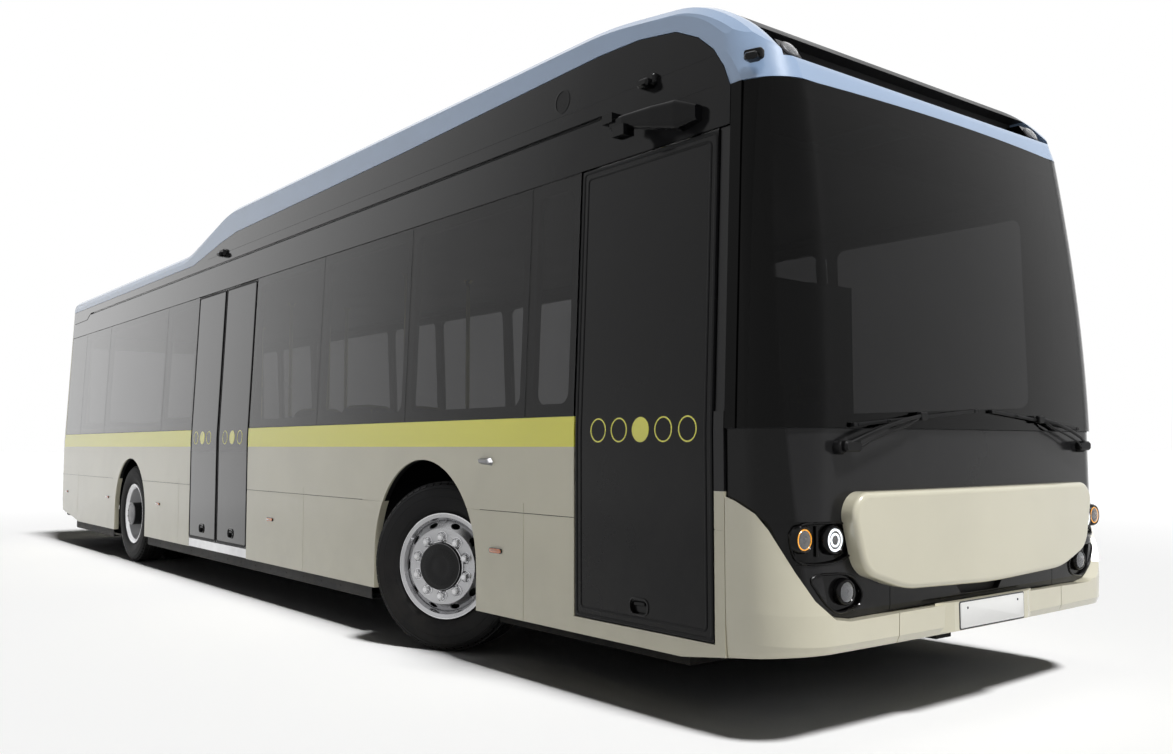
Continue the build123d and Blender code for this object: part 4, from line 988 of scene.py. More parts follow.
# places on the screen are across, height and how far proud of the glass
BOSS_PLACE, COVER_PLACE, CLAMP_PLACE = (0.979, 1.171, -0.014), (0.944, 1.175, 0.012), (0.485, 1.302, 0.016)
WIPER_BOSS = ((0, 0.062), (0.012, 0.061), (0.015, 0.054), (0.016, 0.040), (0.024, 0.036), (0.0285, 0.028),
              (0.0290, 0.0), (0, 0.0))
WIPER_COVER = (0.110, 0.046, 0.018), ((0, 0.004), (0.006, 0), (0.026, 0), (0.034, 0.008))
WIPER_CLAMP = (0.050, 0.036, 0.009), ((0, 0), (0.018, 0), (0.022, 0.004))
WIPER_ARMS = (
    # path and section of the main arm and its twin
    (((0.969, 1.183, 0.036), (0.870, 1.220, 0.048), (0.760, 1.252, 0.046), (0.620, 1.285, 0.040),
      (0.485, 1.306, 0.030)), (0.0085, 0.006)),
    (((0.919, 1.161, 0.036), (0.850, 1.196, 0.044), (0.735, 1.228, 0.042), (0.600, 1.262, 0.036),
      (0.515, 1.294, 0.028)), (0.0055, 0.0045)),
)
BLADE_ENDS = (0.905, 1.262), (0.070, 1.332)
BLADE_STRIPS = (
    # proud, width, depth, first and last share of the blade's length
    (0.0060, 0.0030, 0.0050, 0.0, 1.0), (0.0150, 0.0085, 0.0035, 0.02, 0.98),
    (0.0210, 0.0050, 0.0030, 0.25, 0.75),
)
BLADE_STEPS = 16
BLADE_CLIPS, CLIP_PROUD = (0.0, 0.25, 0.5, 0.75, 1.0), 0.0030
BLADE_CLIP = (0.026, 0.017, 0.005), ((0, 0), (0.0150, 0), (0.0175, 0.003))


class BUS_OT_wipers(BusOperator, bpy.types.Operator):
    """Wipers with twin arms and sprung blades"""

    bl_idname = "bus.wipers"
    bl_label = "Wipers"

    def execute(self, context):
        arms, blades = Shape(), Shape()
        for side in SIDES:
            self.arms(arms, side)
            self.blade(blades, side)
        piece("wiper_arms", arms, "rubber", replaces=("wipers",))
        piece("wiper_blades", blades, "rubber")
        return {"FINISHED"}

    def spot(self, side, across, height, proud):
        """Point in front of the screen, or of the panel under it."""
        return nose(side * across, height, proud, SCREEN_NOSE if height > BELT_Z else LOW_NOSE)

    def arms(self, shape, side):
        """Boss and its cover, the two arms and the clamp at their tips."""
        shape.lathe(facing(self.spot(side, *BOSS_PLACE), AHEAD), WIPER_BOSS, 32)
        shape.pad(facing(self.spot(side, *COVER_PLACE), AHEAD), *WIPER_COVER)
        for path, section in WIPER_ARMS:
            shape.tube([self.spot(side, *point) for point in path], *section)
        shape.pad(facing(self.spot(side, *CLAMP_PLACE), AHEAD), *WIPER_CLAMP)

    def blade(self, shape, side):
        """Rubber, spring and bridge of a blade, with its clips."""
        (y0, z0), (y1, z1) = BLADE_ENDS

        def on_blade(share, proud):
            return self.spot(side, y0 + (y1 - y0) * share, z0 + (z1 - z0) * share, proud)

        for proud, wide, deep, start, end in BLADE_STRIPS:
            shares = [start + (end - start) * i / BLADE_STEPS for i in range(BLADE_STEPS + 1)]
            shape.tube([on_blade(share, proud) for share in shares], wide, deep)
        for share in BLADE_CLIPS:
            shape.pad(facing(on_blade(share, CLIP_PROUD), AHEAD), *BLADE_CLIP)


PLATES = (
    # x of the plate's back, height, way it faces
    (5.9612, 0.443, AHEAD), (-6.0004, 0.475, ASTERN),
)
PLATE = (0.520, 0.110, 0.008), ((0.0016, 0), (0.0036, 0), (0.0044, 0.0012))
PLATE_RIM, PLATE_RIM_FACE, PLATE_RIM_SECTION = (0.512, 0.102, 0.007), 0.0042, (0.0012, 0.0009)
PLATE_HOLDER = (0.532, 0.122, 0.010), ((0.0, 0), (0.0012, 0), (0.0018, 0.001))
PLATE_SCREW = ((0, 0.0030), (0.003, 0.0028), (0.0055, 0.0012), (0.006, 0), (0, -0.001))
SCREW_PLACES = ((-0.205, 0.030, 0.0040), (0.205, 0.030, 0.0040))


class BUS_OT_plates(BusOperator, bpy.types.Operator):
    """Bare number plates, front and rear, with their holders and screws"""

    bl_idname = "bus.plates"
    bl_label = "Number plates"

    def execute(self, context):
        plates, holders = Shape(), Shape()
        for x, height, ahead in PLATES:
            place = facing((x, 0, height), ahead)
            plates.pad(place, *PLATE)
            rim = [place @ Vector((*point, PLATE_RIM_FACE)) for point in soft_box(*PLATE_RIM)]
            plates.tube(rim, *PLATE_RIM_SECTION, 6, closed=True, up=ahead)
            holders.pad(place, *PLATE_HOLDER)
            for screw in SCREW_PLACES:
                holders.lathe(place @ shift(*screw), PLATE_SCREW, 16)
        piece("plate_holders", holders, "cabin plastic")
        piece("bare_plates", plates, "plate white")
        return {"FINISHED"}


# ---- doors
DOORS = (
    # body, rear edge, front edge, free edge, middles of the rings (the disc's first), middle of the handle
    ("front_door", 4.560, 5.479, 4.560, (5.031, 4.734, 4.883, 5.181, 5.332), 5.0195),
    ("mid_front_leaf", -0.3405, 0.331, -0.3405, (-0.018, -0.179, 0.154), -0.005),
    ("mid_rear_leaf", -1.036, -0.3645, -0.3645, (-0.736, -0.902, -0.575), -0.700),
)
DOOR_LOW, DOOR_HIGH = 0.375, 2.516
DOOR_FRAMES = (
    # inset and width of the rubber lines; the middle leaves have the first one only
    (0.010, 0.0085), (0.042, 0.0065),
)
FRAME_CORNER, FRAME_PROUD, FRAME_DEPTH = 0.022, 0.0010, 0.0028
BRUSH_UP, BRUSH_SUNK, BRUSH_SHORT, BRUSH_SECTION = 0.0105, -0.012, 0.004, (0.009, 0.010)
GUARD_SHORT, GUARD_SUNK, GUARD_SECTION = 0.01, -0.016, (0.0095, 0.014)
RING_Z, PULL_Z = 1.250, 0.468
RING_FOOT, RING_FACE = 0.0002, 0.0011
PULL_BOX = (0.128, 0.080, 0.034, 6)
PULL_LEVELS = (
    # depth, inset: from the outer rim over the lip into the recess
    (0.0002, 0), (0.0040, 0.0010), (0.0060, 0.0040), (0.0050, 0.0080), (-0.0080, 0.0120), (-0.0085, 0.0060),
)
GRIP_PLACE = shift(y=0.012, z=-0.0090)
GRIP = (0.070, 0.018, 0.006), ((0, 0), (0.0090, 0), (0.0120, 0.003))


def flank_frame(rear, front, low, high):
    """Rounded rectangle that follows the right side, with points where the side starts to lean."""
    middle = Vector(((rear + front) / 2, (low + high) / 2))
    outline = [middle + Vector(point) for point in soft_box(front - rear, high - low, FRAME_CORNER)]
    path = []
    for here, after in zip(outline, outline[1:] + outline[:1]):
        path.append(here)
        if (here.y - BELT_Z) * (after.y - BELT_Z) < 0:
            path.append(here.lerp(after, (BELT_Z - here.y) / (after.y - here.y)))
    return [flank(x, z, FRAME_PROUD) for x, z in path]


class BUS_OT_doors(BusOperator, bpy.types.Operator):
    """Rubber frames, yellow rings, pulls and edges of the door leaves"""

    bl_idname = "bus.doors"
    bl_label = "Doors"

    def execute(self, context):
        for body, rear, front, free, rings, handle in DOORS:
            seals = Shape()
            for inset, wide in DOOR_FRAMES if body == "front_door" else DOOR_FRAMES[:1]:
                path = flank_frame(rear + inset, front - inset, DOOR_LOW + inset, DOOR_HIGH - inset)
                seals.tube(path, FRAME_DEPTH, wide, closed=True, up=TO_RIGHT)
            # brush under the leaf and finger guard on its free edge
            ends = (rear + BRUSH_SHORT, front - BRUSH_SHORT)
            seals.tube([flank(x, DOOR_LOW + BRUSH_UP, BRUSH_SUNK) for x in ends], *BRUSH_SECTION)
            heights = (DOOR_LOW + GUARD_SHORT, BELT_Z, DOOR_HIGH - GUARD_SHORT)
            seals.tube([flank(free, z, GUARD_SUNK) for z in heights], *GUARD_SECTION, 10, up=ACROSS)
            piece(f"{body}_seals", seals, "rubber", body)
            marks = self.rings(rings, context.scene.bus_trim)
            piece(f"{body}_rings", marks, "yellow paint", body, crease=60)
            piece(f"{body}_pull", self.pull(handle), "lamp black", body)
        return {"FINISHED"}

    def rings(self, middles, trim):
        """Raised disc at the first place and rings at the others."""
        shape = Shape()
        outer = trim.ring_radius
        for index, x in enumerate(middles):
            inner = outer - trim.ring_band if index else 0.0
            section = ((inner, RING_FOOT), (outer, RING_FOOT), (outer, RING_FACE), (inner, RING_FACE))
            rows = [[flank(x + r * math.cos(a), RING_Z + r * math.sin(a), proud) for a in turns(48)]
                    for r, proud in section]
            shape.skin(rows, closed=bool(index))
        return shape

    def pull(self, x):
        """Recessed handle with its lip and grip."""
        place = facing(flank(x, PULL_Z), TO_RIGHT)
        outline = soft_box(*PULL_BOX)
        shape = Shape().skin([[place @ Vector((*point, depth)) for point in drawn_in(outline, inset)]
                              for depth, inset in PULL_LEVELS], closed=True)
        return shape.pad(place @ GRIP_PLACE, *GRIP)


# ---- sides
SIDE_LAMP_X, SIDE_LAMP_Z, SIDE_LAMP_PROUD = (3.878, 0.815, -1.947, -3.750, -5.600), 0.626, 0.0002
LAMP_HOLDER = (0.118, 0.026, 0.012), ((0, 0), (0.0056, 0), (0.0064, 0.0012))
LAMP_LENS = (0.110, 0.020, 0.009), ((0.0060, 0), (0.0078, 0.0005), (0.0090, 0.0040))
SKIRTS = (
    # rear end, front end of the dark strips under the side panels
    (-2.310, 2.440), (-5.150, -3.540),
)
SKIRT_SECTION = (
    # distance from the middle, height
    (1.228, 0.330), (1.252, 0.300), (1.256, 0.286), (1.256, 0.222), (1.250, 0.212), (1.190, 0.2105),
    (1.190, 0.2150), (1.246, 0.2168), (1.2515, 0.2240), (1.2515, 0.2850), (1.224, 0.326),
)
RIVET = ((0, 0.0034), (0.004, 0.0030), (0.0070, 0.0010), (0.0072, 0), (0, -0.001))
RIVET_STEP, RIVET_FIRST, RIVET_Y, RIVET_Z = 0.30, 0.10, 1.256, 0.252
SEAM_Z = 0.835
SEAMS = (
    # ends and height of the long joints of the side panels
    ((-5.85, -3.56), SEAM_Z), ((-2.45, -1.045), SEAM_Z), ((0.340, 2.33), SEAM_Z), ((3.72, 4.552), SEAM_Z),
    ((-0.90, 5.455), 2.851), ((5.10, 5.455), 2.715),
)
UPRIGHTS = (
    # place along the body, lower end, upper end of the upright joints
    (-5.06, 0.36, 1.172), (-1.934, 0.36, SEAM_Z), (4.130, 0.36, SEAM_Z),
)
PANE_RUNS = {RIGHT: ((-5.770, -1.050), (0.345, 4.540)), LEFT: ((-5.770, 5.540),)}
PANE_EDGES, JOINT_HEIGHTS = (1.321, 2.523), (1.322, 1.9, 2.520)
# sections: width along the direction up, height across it, steps round
JOINT_SUNK, JOINT_SECTION = -0.0032, (0.0020, 0.0030, 6)
EDGE_SUNK, EDGE_SECTION = -0.0025, (0.0030, 0.0025, 6)
SEAM_SECTION, UPRIGHT_SECTION = (0.0011, 0.0005, 6), (0.0005, 0.0011, 6)
WINDOW_JOINTS = {
    RIGHT: (-5.060, -4.000, -1.934, 1.602, 2.866, 4.130),
    LEFT: (-5.060, -4.000, -1.934, -0.898, 0.352, 1.602, 2.866, 4.130),
}
GUTTER_Z, GUTTER_X, GUTTER_PROUD, GUTTER_SECTION = 2.7565, (-5.0, 0.0, 4.77), 0.0008, (0.0022, 0.0030)
GUTTER_END, END_PROUD, END_WIDTH = ((-5.72, 2.700), (-5.139, 2.706), (-5.02, 2.757)), 0.0004, 0.0030
ENTRY_LAMP, ENTRY_LAMP_PROUD = (3.785, 1.094), 0.0002
ENTRY_OUTLINE = ((-0.056, 0.014), (-0.044, -0.012), (0.050, -0.017), (0.058, -0.004), (0.040, 0.017))
ENTRY_LEVELS = ((0, -0.004), (0.010, 0), (0.022, 0.003), (0.026, 0.007))
ENTRY_SLIT, SLIT_SECTION = ((-0.034, -0.001, 0.0262), (0.034, -0.001, 0.0262)), (0.0028, 0.0022)
CAMERA_EYES = (
    # x, height, radius
    (4.889, 2.668, 0.016), (4.960, 2.597, 0.019),
)
CAMERA_EYE_Y = 1.344
# radius from the eye's edge, height
EYE_HOOD = ((0, -0.004), (0.001, 0.0002), (0.003, 0.0008), (0.005, -0.001), (0.005, -0.004))
# share of the eye's radius, height
EYE = ((0, 0.0008), (0.6, 0.0004), (1, -0.002), (0, -0.003))


class BUS_OT_side_trim(BusOperator, bpy.types.Operator):
    """Skirt strips, window joints, marker lamps, gutters and the entry lamp"""

    bl_idname = "bus.side_trim"
    bl_label = "Side trim"

    def execute(self, context):
        strips, joints, lamps, holders, gutter, seams = (Shape() for _ in range(6))
        for side in SIDES:
            self.skirts(strips, side)
            for x in WINDOW_JOINTS[side]:
                path = [flank(x, z, JOINT_SUNK, side) for z in JOINT_HEIGHTS]
                joints.tube(path, *JOINT_SECTION, up=ACROSS)
            for ends in PANE_RUNS[side]:
                for z in PANE_EDGES:
                    joints.tube([flank(x, z, EDGE_SUNK, side) for x in ends], *EDGE_SECTION)
            for ends, height in SEAMS:
                seams.tube([flank(x, height, 0.0, side) for x in ends], *SEAM_SECTION)
            for x, low, high in UPRIGHTS:
                seams.tube([flank(x, z, 0.0, side) for z in (low, high)], *UPRIGHT_SECTION)
            for x in SIDE_LAMP_X:
                place = facing(flank(x, SIDE_LAMP_Z, SIDE_LAMP_PROUD, side), (0, side, 0))
                holders.pad(place, *LAMP_HOLDER)
                lamps.pad(place, *LAMP_LENS)
            gutter.tube([flank(x, GUTTER_Z, GUTTER_PROUD, side) for x in GUTTER_X], *GUTTER_SECTION)
            gutter.tube([flank(x, z, END_PROUD, side) for x, z in GUTTER_END], END_WIDTH)
        piece("skirt_strips", strips, "chassis black")
        piece("window_joints", joints, "rubber")
        piece("panel_seams", seams, "rubber")
        piece("marker_holders", holders, "lamp black")
        piece("marker_lenses", lamps, "amber lens")
        piece("gutter_lines", gutter, "rubber")
        self.entry_lamp()
        self.camera_eyes()
        return {"FINISHED"}

    def skirts(self, shape, side):
        """Folded strips under the side panels, with a row of rivets."""
        for rear, front in SKIRTS:
            ends = [[Vector((x, side * y, z)) for y, z in SKIRT_SECTION] for x in (rear, front)]
            shape.skin(ends, caps=True)
            rivet = Shape().lathe(facing((0, 0, 0), TO_RIGHT), RIVET, 12)
            count = int((front - rear) / RIVET_STEP)
            row = repeated(rivet, "chassis black", count, offset=(RIVET_STEP, 0, 0))
            mirror = Matrix.Diagonal((1, -side, 1, 1))
            shape.take(row, shift(rear + RIVET_FIRST, side * RIVET_Y, RIVET_Z) @ mirror)

    def entry_lamp(self):
        """Small slanted lamp pod beside the front door."""
        place = facing(flank(*ENTRY_LAMP, ENTRY_LAMP_PROUD), TO_RIGHT)
        pod = Shape().plate(place, ENTRY_OUTLINE, ENTRY_LEVELS)
        pod.tube([place @ Vector(point) for point in ENTRY_SLIT], *SLIT_SECTION)
        piece("entry_lamp", pod, "dull steel")

    def camera_eyes(self):
        """Glass eyes and hoods of the mirror cameras."""
        hoods, eyes = Shape(), Shape()
        for side in SIDES:
            for x, z, radius in CAMERA_EYES:
                place = facing((x, side * CAMERA_EYE_Y, z), ASTERN)
                hoods.lathe(place, widened(radius, EYE_HOOD), 24)
                eyes.lathe(place, scaled(radius, EYE), 24)
        piece("camera_hoods", hoods, "lamp black")
        piece("camera_eyes", eyes, "dark lens")


# ---- roof
ROOF_CAMERAS = (
    # foot on the right side or on the corner, way it faces, scale
    (flank(5.032, 2.849, -0.002), TO_RIGHT, 1.7), (flank(-0.485, 2.853, -0.002), TO_RIGHT, 1.7),
    (Vector((5.664, -1.196, 2.790)), (0.35, -1, 0), 1.35),
)
CAMERA_FOOT = (0.062, 0.034, 0.010), ((-0.004, 0), (0.012, 0), (0.018, 0.004))
CAMERA_HEAD = (0.046, 0.026, 0.011), ((-0.004, 0), (0.024, 0.001), (0.031, 0.007))
CAMERA_HEAD_PLACE, CAMERA_EYE_PLACE = shift(y=-0.010, z=0.004), shift(y=-0.010, z=0.031)
CAMERA_EYE = ((0, 0.0022), (0.005, 0.0014), (0.0068, 0), (0, -0.002))
POSITION_LAMP, POSITION_NORMAL, POSITION_PROUD = (5.671, 0.985, 2.858), Vector((0.84, 0, 0.54)), 0.0004
POSITION_BOWL = ((0, 0.002), (0.020, 0.003), (0.034, 0.006), (0.040, 0.009), (0.045, 0.007), (0.047, 0.0),
                 (0, -0.004))
POSITION_LENS = ((0, 0.0160), (0.018, 0.0152), (0.032, 0.0125), (0.0405, 0.0080), (0.0400, 0.0070),
                 (0.031, 0.0112), (0.018, 0.0138), (0, 0.0145))
GRILLE_RIM = ((0.054, 0.0002), (0.054, 0.0022), (0.058, 0.0030), (0.062, 0.0016), (0.062, 0.0002))
GRILLE_DOME = ((0, 0.0020), (0.0022, 0.0016), (0.0034, 0.0003), (0, 0.0002))
GRILLE_RINGS, GRILLE_STEP, DOMES_A_RING = 5, 0.0095, 6
GRILLE_PLACE = (4.363, 2.929)
COVER_X, COVER_Z = (-5.15, -4.15, -3.15, -2.25), 2.9900
COVER = (1.50, 0.78, 0.06), ((0.0, 0), (0.012, 0), (0.020, 0.008))
COVER_RIB = (0.030, 0.620, 0.014), ((0.018, 0), (0.026, 0.001), (0.029, 0.005))
COVER_RIBS, RIB_STEP, FIRST_RIB = 9, 0.15, -0.60


class BUS_OT_roof_trim(BusOperator, bpy.types.Operator):
    """Side cameras, position lamp lenses, speaker grille and roof hatches"""

    bl_idname = "bus.roof_trim"
    bl_label = "Roof trim"

    def execute(self, context):
        bodies, eyes, lamps, bowls = Shape(), Shape(), Shape(), Shape()
        for foot, normal, scale in ROOF_CAMERAS:
            place = facing(foot, normal) @ Matrix.Scale(scale, 4)
            bodies.pad(place, *CAMERA_FOOT)
            bodies.pad(place @ CAMERA_HEAD_PLACE, *CAMERA_HEAD)
            eyes.lathe(place @ CAMERA_EYE_PLACE, CAMERA_EYE, 16)
        for side in SIDES:
            x, y, z = POSITION_LAMP
            place = facing(Vector((x, side * y, z)) + POSITION_NORMAL * POSITION_PROUD, POSITION_NORMAL)
            bowls.lathe(place, POSITION_BOWL, 32)
            lamps.lathe(place, POSITION_LENS, 32)
        piece("side_cameras", bodies, "lamp black")
        piece("side_camera_eyes", eyes, "dark lens")
        piece("position_bowls", bowls, "lamp bowl")
        piece("position_lenses", lamps, "clear glass")
        self.grille()
        self.covers()
        return {"FINISHED"}

    def grille(self):
        """Round speaker grille of small domes over the front door."""
        place = facing(flank(*GRILLE_PLACE), (0, -1, SIDE_LEAN))
        shape = Shape().lathe(place, GRILLE_RIM)
        for ring in range(1, GRILLE_RINGS + 1):
            dome = Shape().lathe(STILL, GRILLE_DOME, 8)
            shape.take(repeated(dome, "lamp black", ring * DOMES_A_RING, radius=GRILLE_STEP * ring), place)
        piece("speaker_grille", shape, "lamp black")

    def covers(self):
        """Shallow covers along the roof, with ribs, kept below the roof's crown."""
        covers = Shape()
        for x in COVER_X:
            place = facing((x, 0, COVER_Z), UP, AHEAD)
            covers.pad(place, *COVER)
            ribs = repeated(Shape().pad(STILL, *COVER_RIB), "roof black", COVER_RIBS, offset=(RIB_STEP, 0, 0))
            covers.take(ribs, place @ shift(FIRST_RIB))
        piece("roof_covers", covers, "roof black")


# ---- rear
TAIL_LAMPS = (
    # height, finish of the lens
    (1.350, "red lens"), (1.240, "amber lens"), (1.130, "red lens"), (1.020, "clear lens"),
)
TAIL_LAMP_PLACE = (-5.9922, 1.045)
TAIL_LENS = ((0, 0.0120), (0.015, 0.0116), (0.018, 0.0098), (0.032, 0.0086), (0.041, 0.0050),
             (0.0428, 0.0004), (0, 0.0002))
TAIL_RIM = ((0.0442, -0.009), (0.0430, 0.0050), (0.0460, 0.0072), (0.0495, 0.0050), (0.0500, -0.009))
LOUVRE_BACK, LOUVRE_LOW, LOUVRE_STEP, LOUVRES = -5.9975, 0.72, 0.024, 12
LOUVRE_MIDDLES, HALF_LOUVRE = (-0.42, 0.42), 0.33
LOUVRE_SECTION = (
    # outwards, height
    (-0.008, 0), (0.0105, -0.004), (0.0125, -0.0065), (0.0105, -0.0080), (-0.008, -0.0040),
)
LATCH_PLACE = (-6.0001, 0, 0.690)
LATCH_BASE = (0.130, 0.038, 0.012), ((0, 0), (0.003, 0), (0.005, 0.002))
LATCH_HANDLE = (0.094, 0.016, 0.006), ((0.004, 0), (0.010, 0), (0.0125, 0.003))
REAR_WINDOW, REAR_WINDOW_Z = (1.930, 0.952, 0.030), 1.950
WINDOW_PROUD, WINDOW_SECTION = 0.0008, (0.006, 0.004)
REFLECTOR_Y, REFLECTOR_Z, REFLECTOR_PROUD = 0.80, 0.475, 0.0004
REFLECTOR = (0.110, 0.042, 0.006), ((0, 0), (0.004, 0), (0.006, 0.002))


class BUS_OT_rear_trim(BusOperator, bpy.types.Operator):
    """Tail lamp lenses, louvres and latch of the rear lid, window frame and reflectors"""

    bl_idname = "bus.rear_trim"
    bl_label = "Rear trim"

    def execute(self, context):
        self.tail_lamps()
        self.lid()
        frame_line, reflectors = Shape(), Shape()
        outline = [tail(y, z + REAR_WINDOW_Z, WINDOW_PROUD) for y, z in soft_box(*REAR_WINDOW)]
        frame_line.tube(outline, *WINDOW_SECTION, closed=True, up=ASTERN)
        for side in SIDES:
            place = facing(tail(side * REFLECTOR_Y, REFLECTOR_Z, REFLECTOR_PROUD), ASTERN)
            reflectors.pad(place, *REFLECTOR)
        piece("rear_window_rubber", frame_line, "rubber")
        piece("rear_reflectors", reflectors, "red lens")
        return {"FINISHED"}

    def tail_lamps(self):
        """Lenses, one piece a height, and the rims of all."""
        rims = Shape()
        x, y = TAIL_LAMP_PLACE
        for height, finish in TAIL_LAMPS:
            lenses = Shape()
            for side in SIDES:
                place = facing((x, side * y, height), ASTERN)
                lenses.lathe(place, TAIL_LENS, 40)
                rims.lathe(place, TAIL_RIM, 40)
            piece(f"tail_lenses_{round(height * 1000)}", lenses, finish)
        piece("tail_rims", rims, "bright chrome")

    def lid(self):
        """Louvres and latch that ride on the rear lid."""
        louvres, latch = Shape(), Shape()
        for middle in LOUVRE_MIDDLES:
            ends = [[Vector((-out, y, z)) for out, z in LOUVRE_SECTION]
                    for y in (middle - HALF_LOUVRE, middle + HALF_LOUVRE)]
            slat = Shape().skin(ends, caps=True)
            row = repeated(slat, "cream paint", LOUVRES, offset=(0, 0, LOUVRE_STEP))
            louvres.take(row, shift(LOUVRE_BACK, 0, LOUVRE_LOW))
        piece("lid_louvres", louvres, "cream paint", "rear_lid")
        place = facing(LATCH_PLACE, ASTERN)
        latch.pad(place, *LATCH_BASE)
        latch.pad(place, *LATCH_HANDLE)
        piece("lid_latch", latch, "lamp black", "rear_lid")


# ---- saloon
FLOOR_Z, BOSS_Z, CEILING_Z = 0.3705, 0.3706, 2.5594
SEAT_ROWS = (
    # x of the first seat's front edge, side, rows
    (2.300, LEFT, 6), (2.300, RIGHT, 2), (-1.700, RIGHT, 1), (-3.900, LEFT, 2), (-3.900, RIGHT, 2),
)
SEAT_PITCH = -0.8
SEATS_ACROSS, SEATS_MIDDLE = (0.545, 0.975), 0.760
CUSHION_PLACE, BACK_PLACE, BACK_RAKE = (-0.205, 0.822), (-0.424, 1.150), math.radians(82)
GRIP_PATH = (
    # along and across the back
    (-0.26, -0.17), (-0.305, -0.14), (-0.315, 0.0), (-0.305, 0.14), (-0.26, 0.17),
)
CUSHION, BACK_CUSHION = (0.385, 0.395, 0.060), (0.580, 0.385, 0.046)
SEAT_PAN_DOWN, SEAT_PAN = -0.030, ((0.405, 0.418, 0.050), ((-0.0005, 0.004), (0.006, 0), (0.012, 0.004)))
BACK_SHELL_DOWN, BACK_SHELL = -0.024, ((0.610, 0.412, 0.060), ((-0.006, 0.004), (0.001, 0), (0.008, 0.004)))
GRIP_DOWN, GRIP_RADIUS = -0.022, 0.010
PEDESTAL_X, PEDESTAL_HEIGHTS, PEDESTAL_RADIUS = -0.220, (0.380, 0.55, 0.780), 0.032
PEDESTAL_FOOT = (0.150, 0.150, 0.030), ((0, 0), (0.008, 0), (0.012, 0.004))
SEAT_BEAM_Z, SEAT_BEAM = 0.775, ((0.24, 0.62, 0.02), ((0, 0), (0.012, 0)))
CUSHION_LEVELS = (
    # share of the outline, share of the thickness: the seam is at half height
    (0.0, 0.50), (0.35, 0.485), (0.60, 0.44), (0.78, 0.36), (0.90, 0.26), (0.97, 0.14), (1.0, 0.045),
    (1.012, 0.02), (1.018, 0.0), (1.012, -0.02), (1.0, -0.045), (0.985, -0.16), (0.96, -0.28),
    (0.90, -0.36), (0.70, -0.40), (0.35, -0.41), (0.0, -0.41),
)
DRIVER_Y, DRIVER_RAKE = 0.640, math.radians(80)
DRIVER_SEAT, DRIVER_BACK, DRIVER_HEAD = (4.735, 0.895), (4.510, 1.215), (4.448, 1.520)
DRIVER_CUSHION, DRIVER_BACK_CUSHION = (0.40, 0.44, 0.085), (0.52, 0.42, 0.075)
DRIVER_HEADREST = (0.12, 0.25, 0.060)
DRIVER_PAN_DOWN, DRIVER_PAN = -0.055, ((0.42, 0.46, 0.05), ((-0.02, 0.01), (0, 0), (0.015, 0.006)))
DRIVER_SHELL_DOWN, DRIVER_SHELL = -0.040, ((0.56, 0.44, 0.06), ((-0.012, 0.01), (0, 0), (0.010, 0.006)))
ROD_X, RODS_ACROSS, ROD_HEIGHTS, ROD_RADIUS = 4.442, (-0.06, 0.06), (1.43, 1.50), 0.006
BELLOWS_X, BELLOWS_FOLDS, BELLOWS_CORNER, BELLOWS_DEPTH = 4.710, 16, 0.03, 0.9
BELLOWS_Z, FOLD_STEP, OUTER_FOLD, INNER_FOLD = 0.40, 0.025, 0.200, 0.165
BELLOWS_FOOT, BELLOWS_TOP = (FLOOR_Z, 0.22), (0.80, 0.20)
POLES = (
    (4.250, -0.400), (1.100, 0.290), (1.100, -0.290), (-1.180, 0.290), (-1.180, -0.290), (0.420, -0.640),
    (-3.400, 0.290), (-3.400, -0.290),
)
POLE_BOSS = ((0.0175, 0), (0.0400, 0), (0.0400, 0.006), (0.030, 0.012), (0.0215, 0.030), (0.0175, 0.034))
HOOD_SECTION = ((5.330, 1.181), (5.330, 1.250), (5.380, 1.300), (5.520, 1.290), (5.600, 1.181))
HOOD_ENDS = (-0.28, -0.25, 0.25, 0.28)
STOP_BUTTON_OUT, STOP_BUTTON_Z = 0.017, 1.420
STOP_BUTTON = (0.044, 0.086, 0.018), ((-0.012, 0.002), (0.012, 0), (0.018, 0.005))
TICKET_PLACE, TICKET_NORMAL = (5.340, 0.060, 1.181), (-0.25, 0, 1)
TICKET_MACHINE = (0.22, 0.26, 0.02), ((0, 0), (0.10, 0.006), (0.12, 0.02))
SCREEN_PLACE = (5.3325, DRIVER_Y, 1.226)
SCREEN = (0.38, 0.072, 0.012), ((-0.002, 0), (0.0030, 0), (0.0040, 0.001))


def cushion(width, depth, thick):
    """Crowned closed cushion, its sides drawn in between the corners, with a piped seam half way up."""
    draw, quilting, quilted_to, quilts, corner = 0.030, 0.04, 0.9, 1.5, 0.16

    def held(value, other, length):
        return value * (1 - draw * math.cos(math.pi * other / length))

    outline = [(held(x, y, depth), held(y, x, width))
               for x, y in soft_box(width, depth, min(width, depth) * corner, 7)]
    rows = []
    for share, height in CUSHION_LEVELS:
        swell = quilting * thick if share < quilted_to else 0
        wave = math.tau * quilts * share / width
        rows.append([Vector((x * share, y * share, thick * height + swell * math.cos(wave * x)))
                     for x, y in outline])
    return Shape().skin(rows).data("cushion", 60)


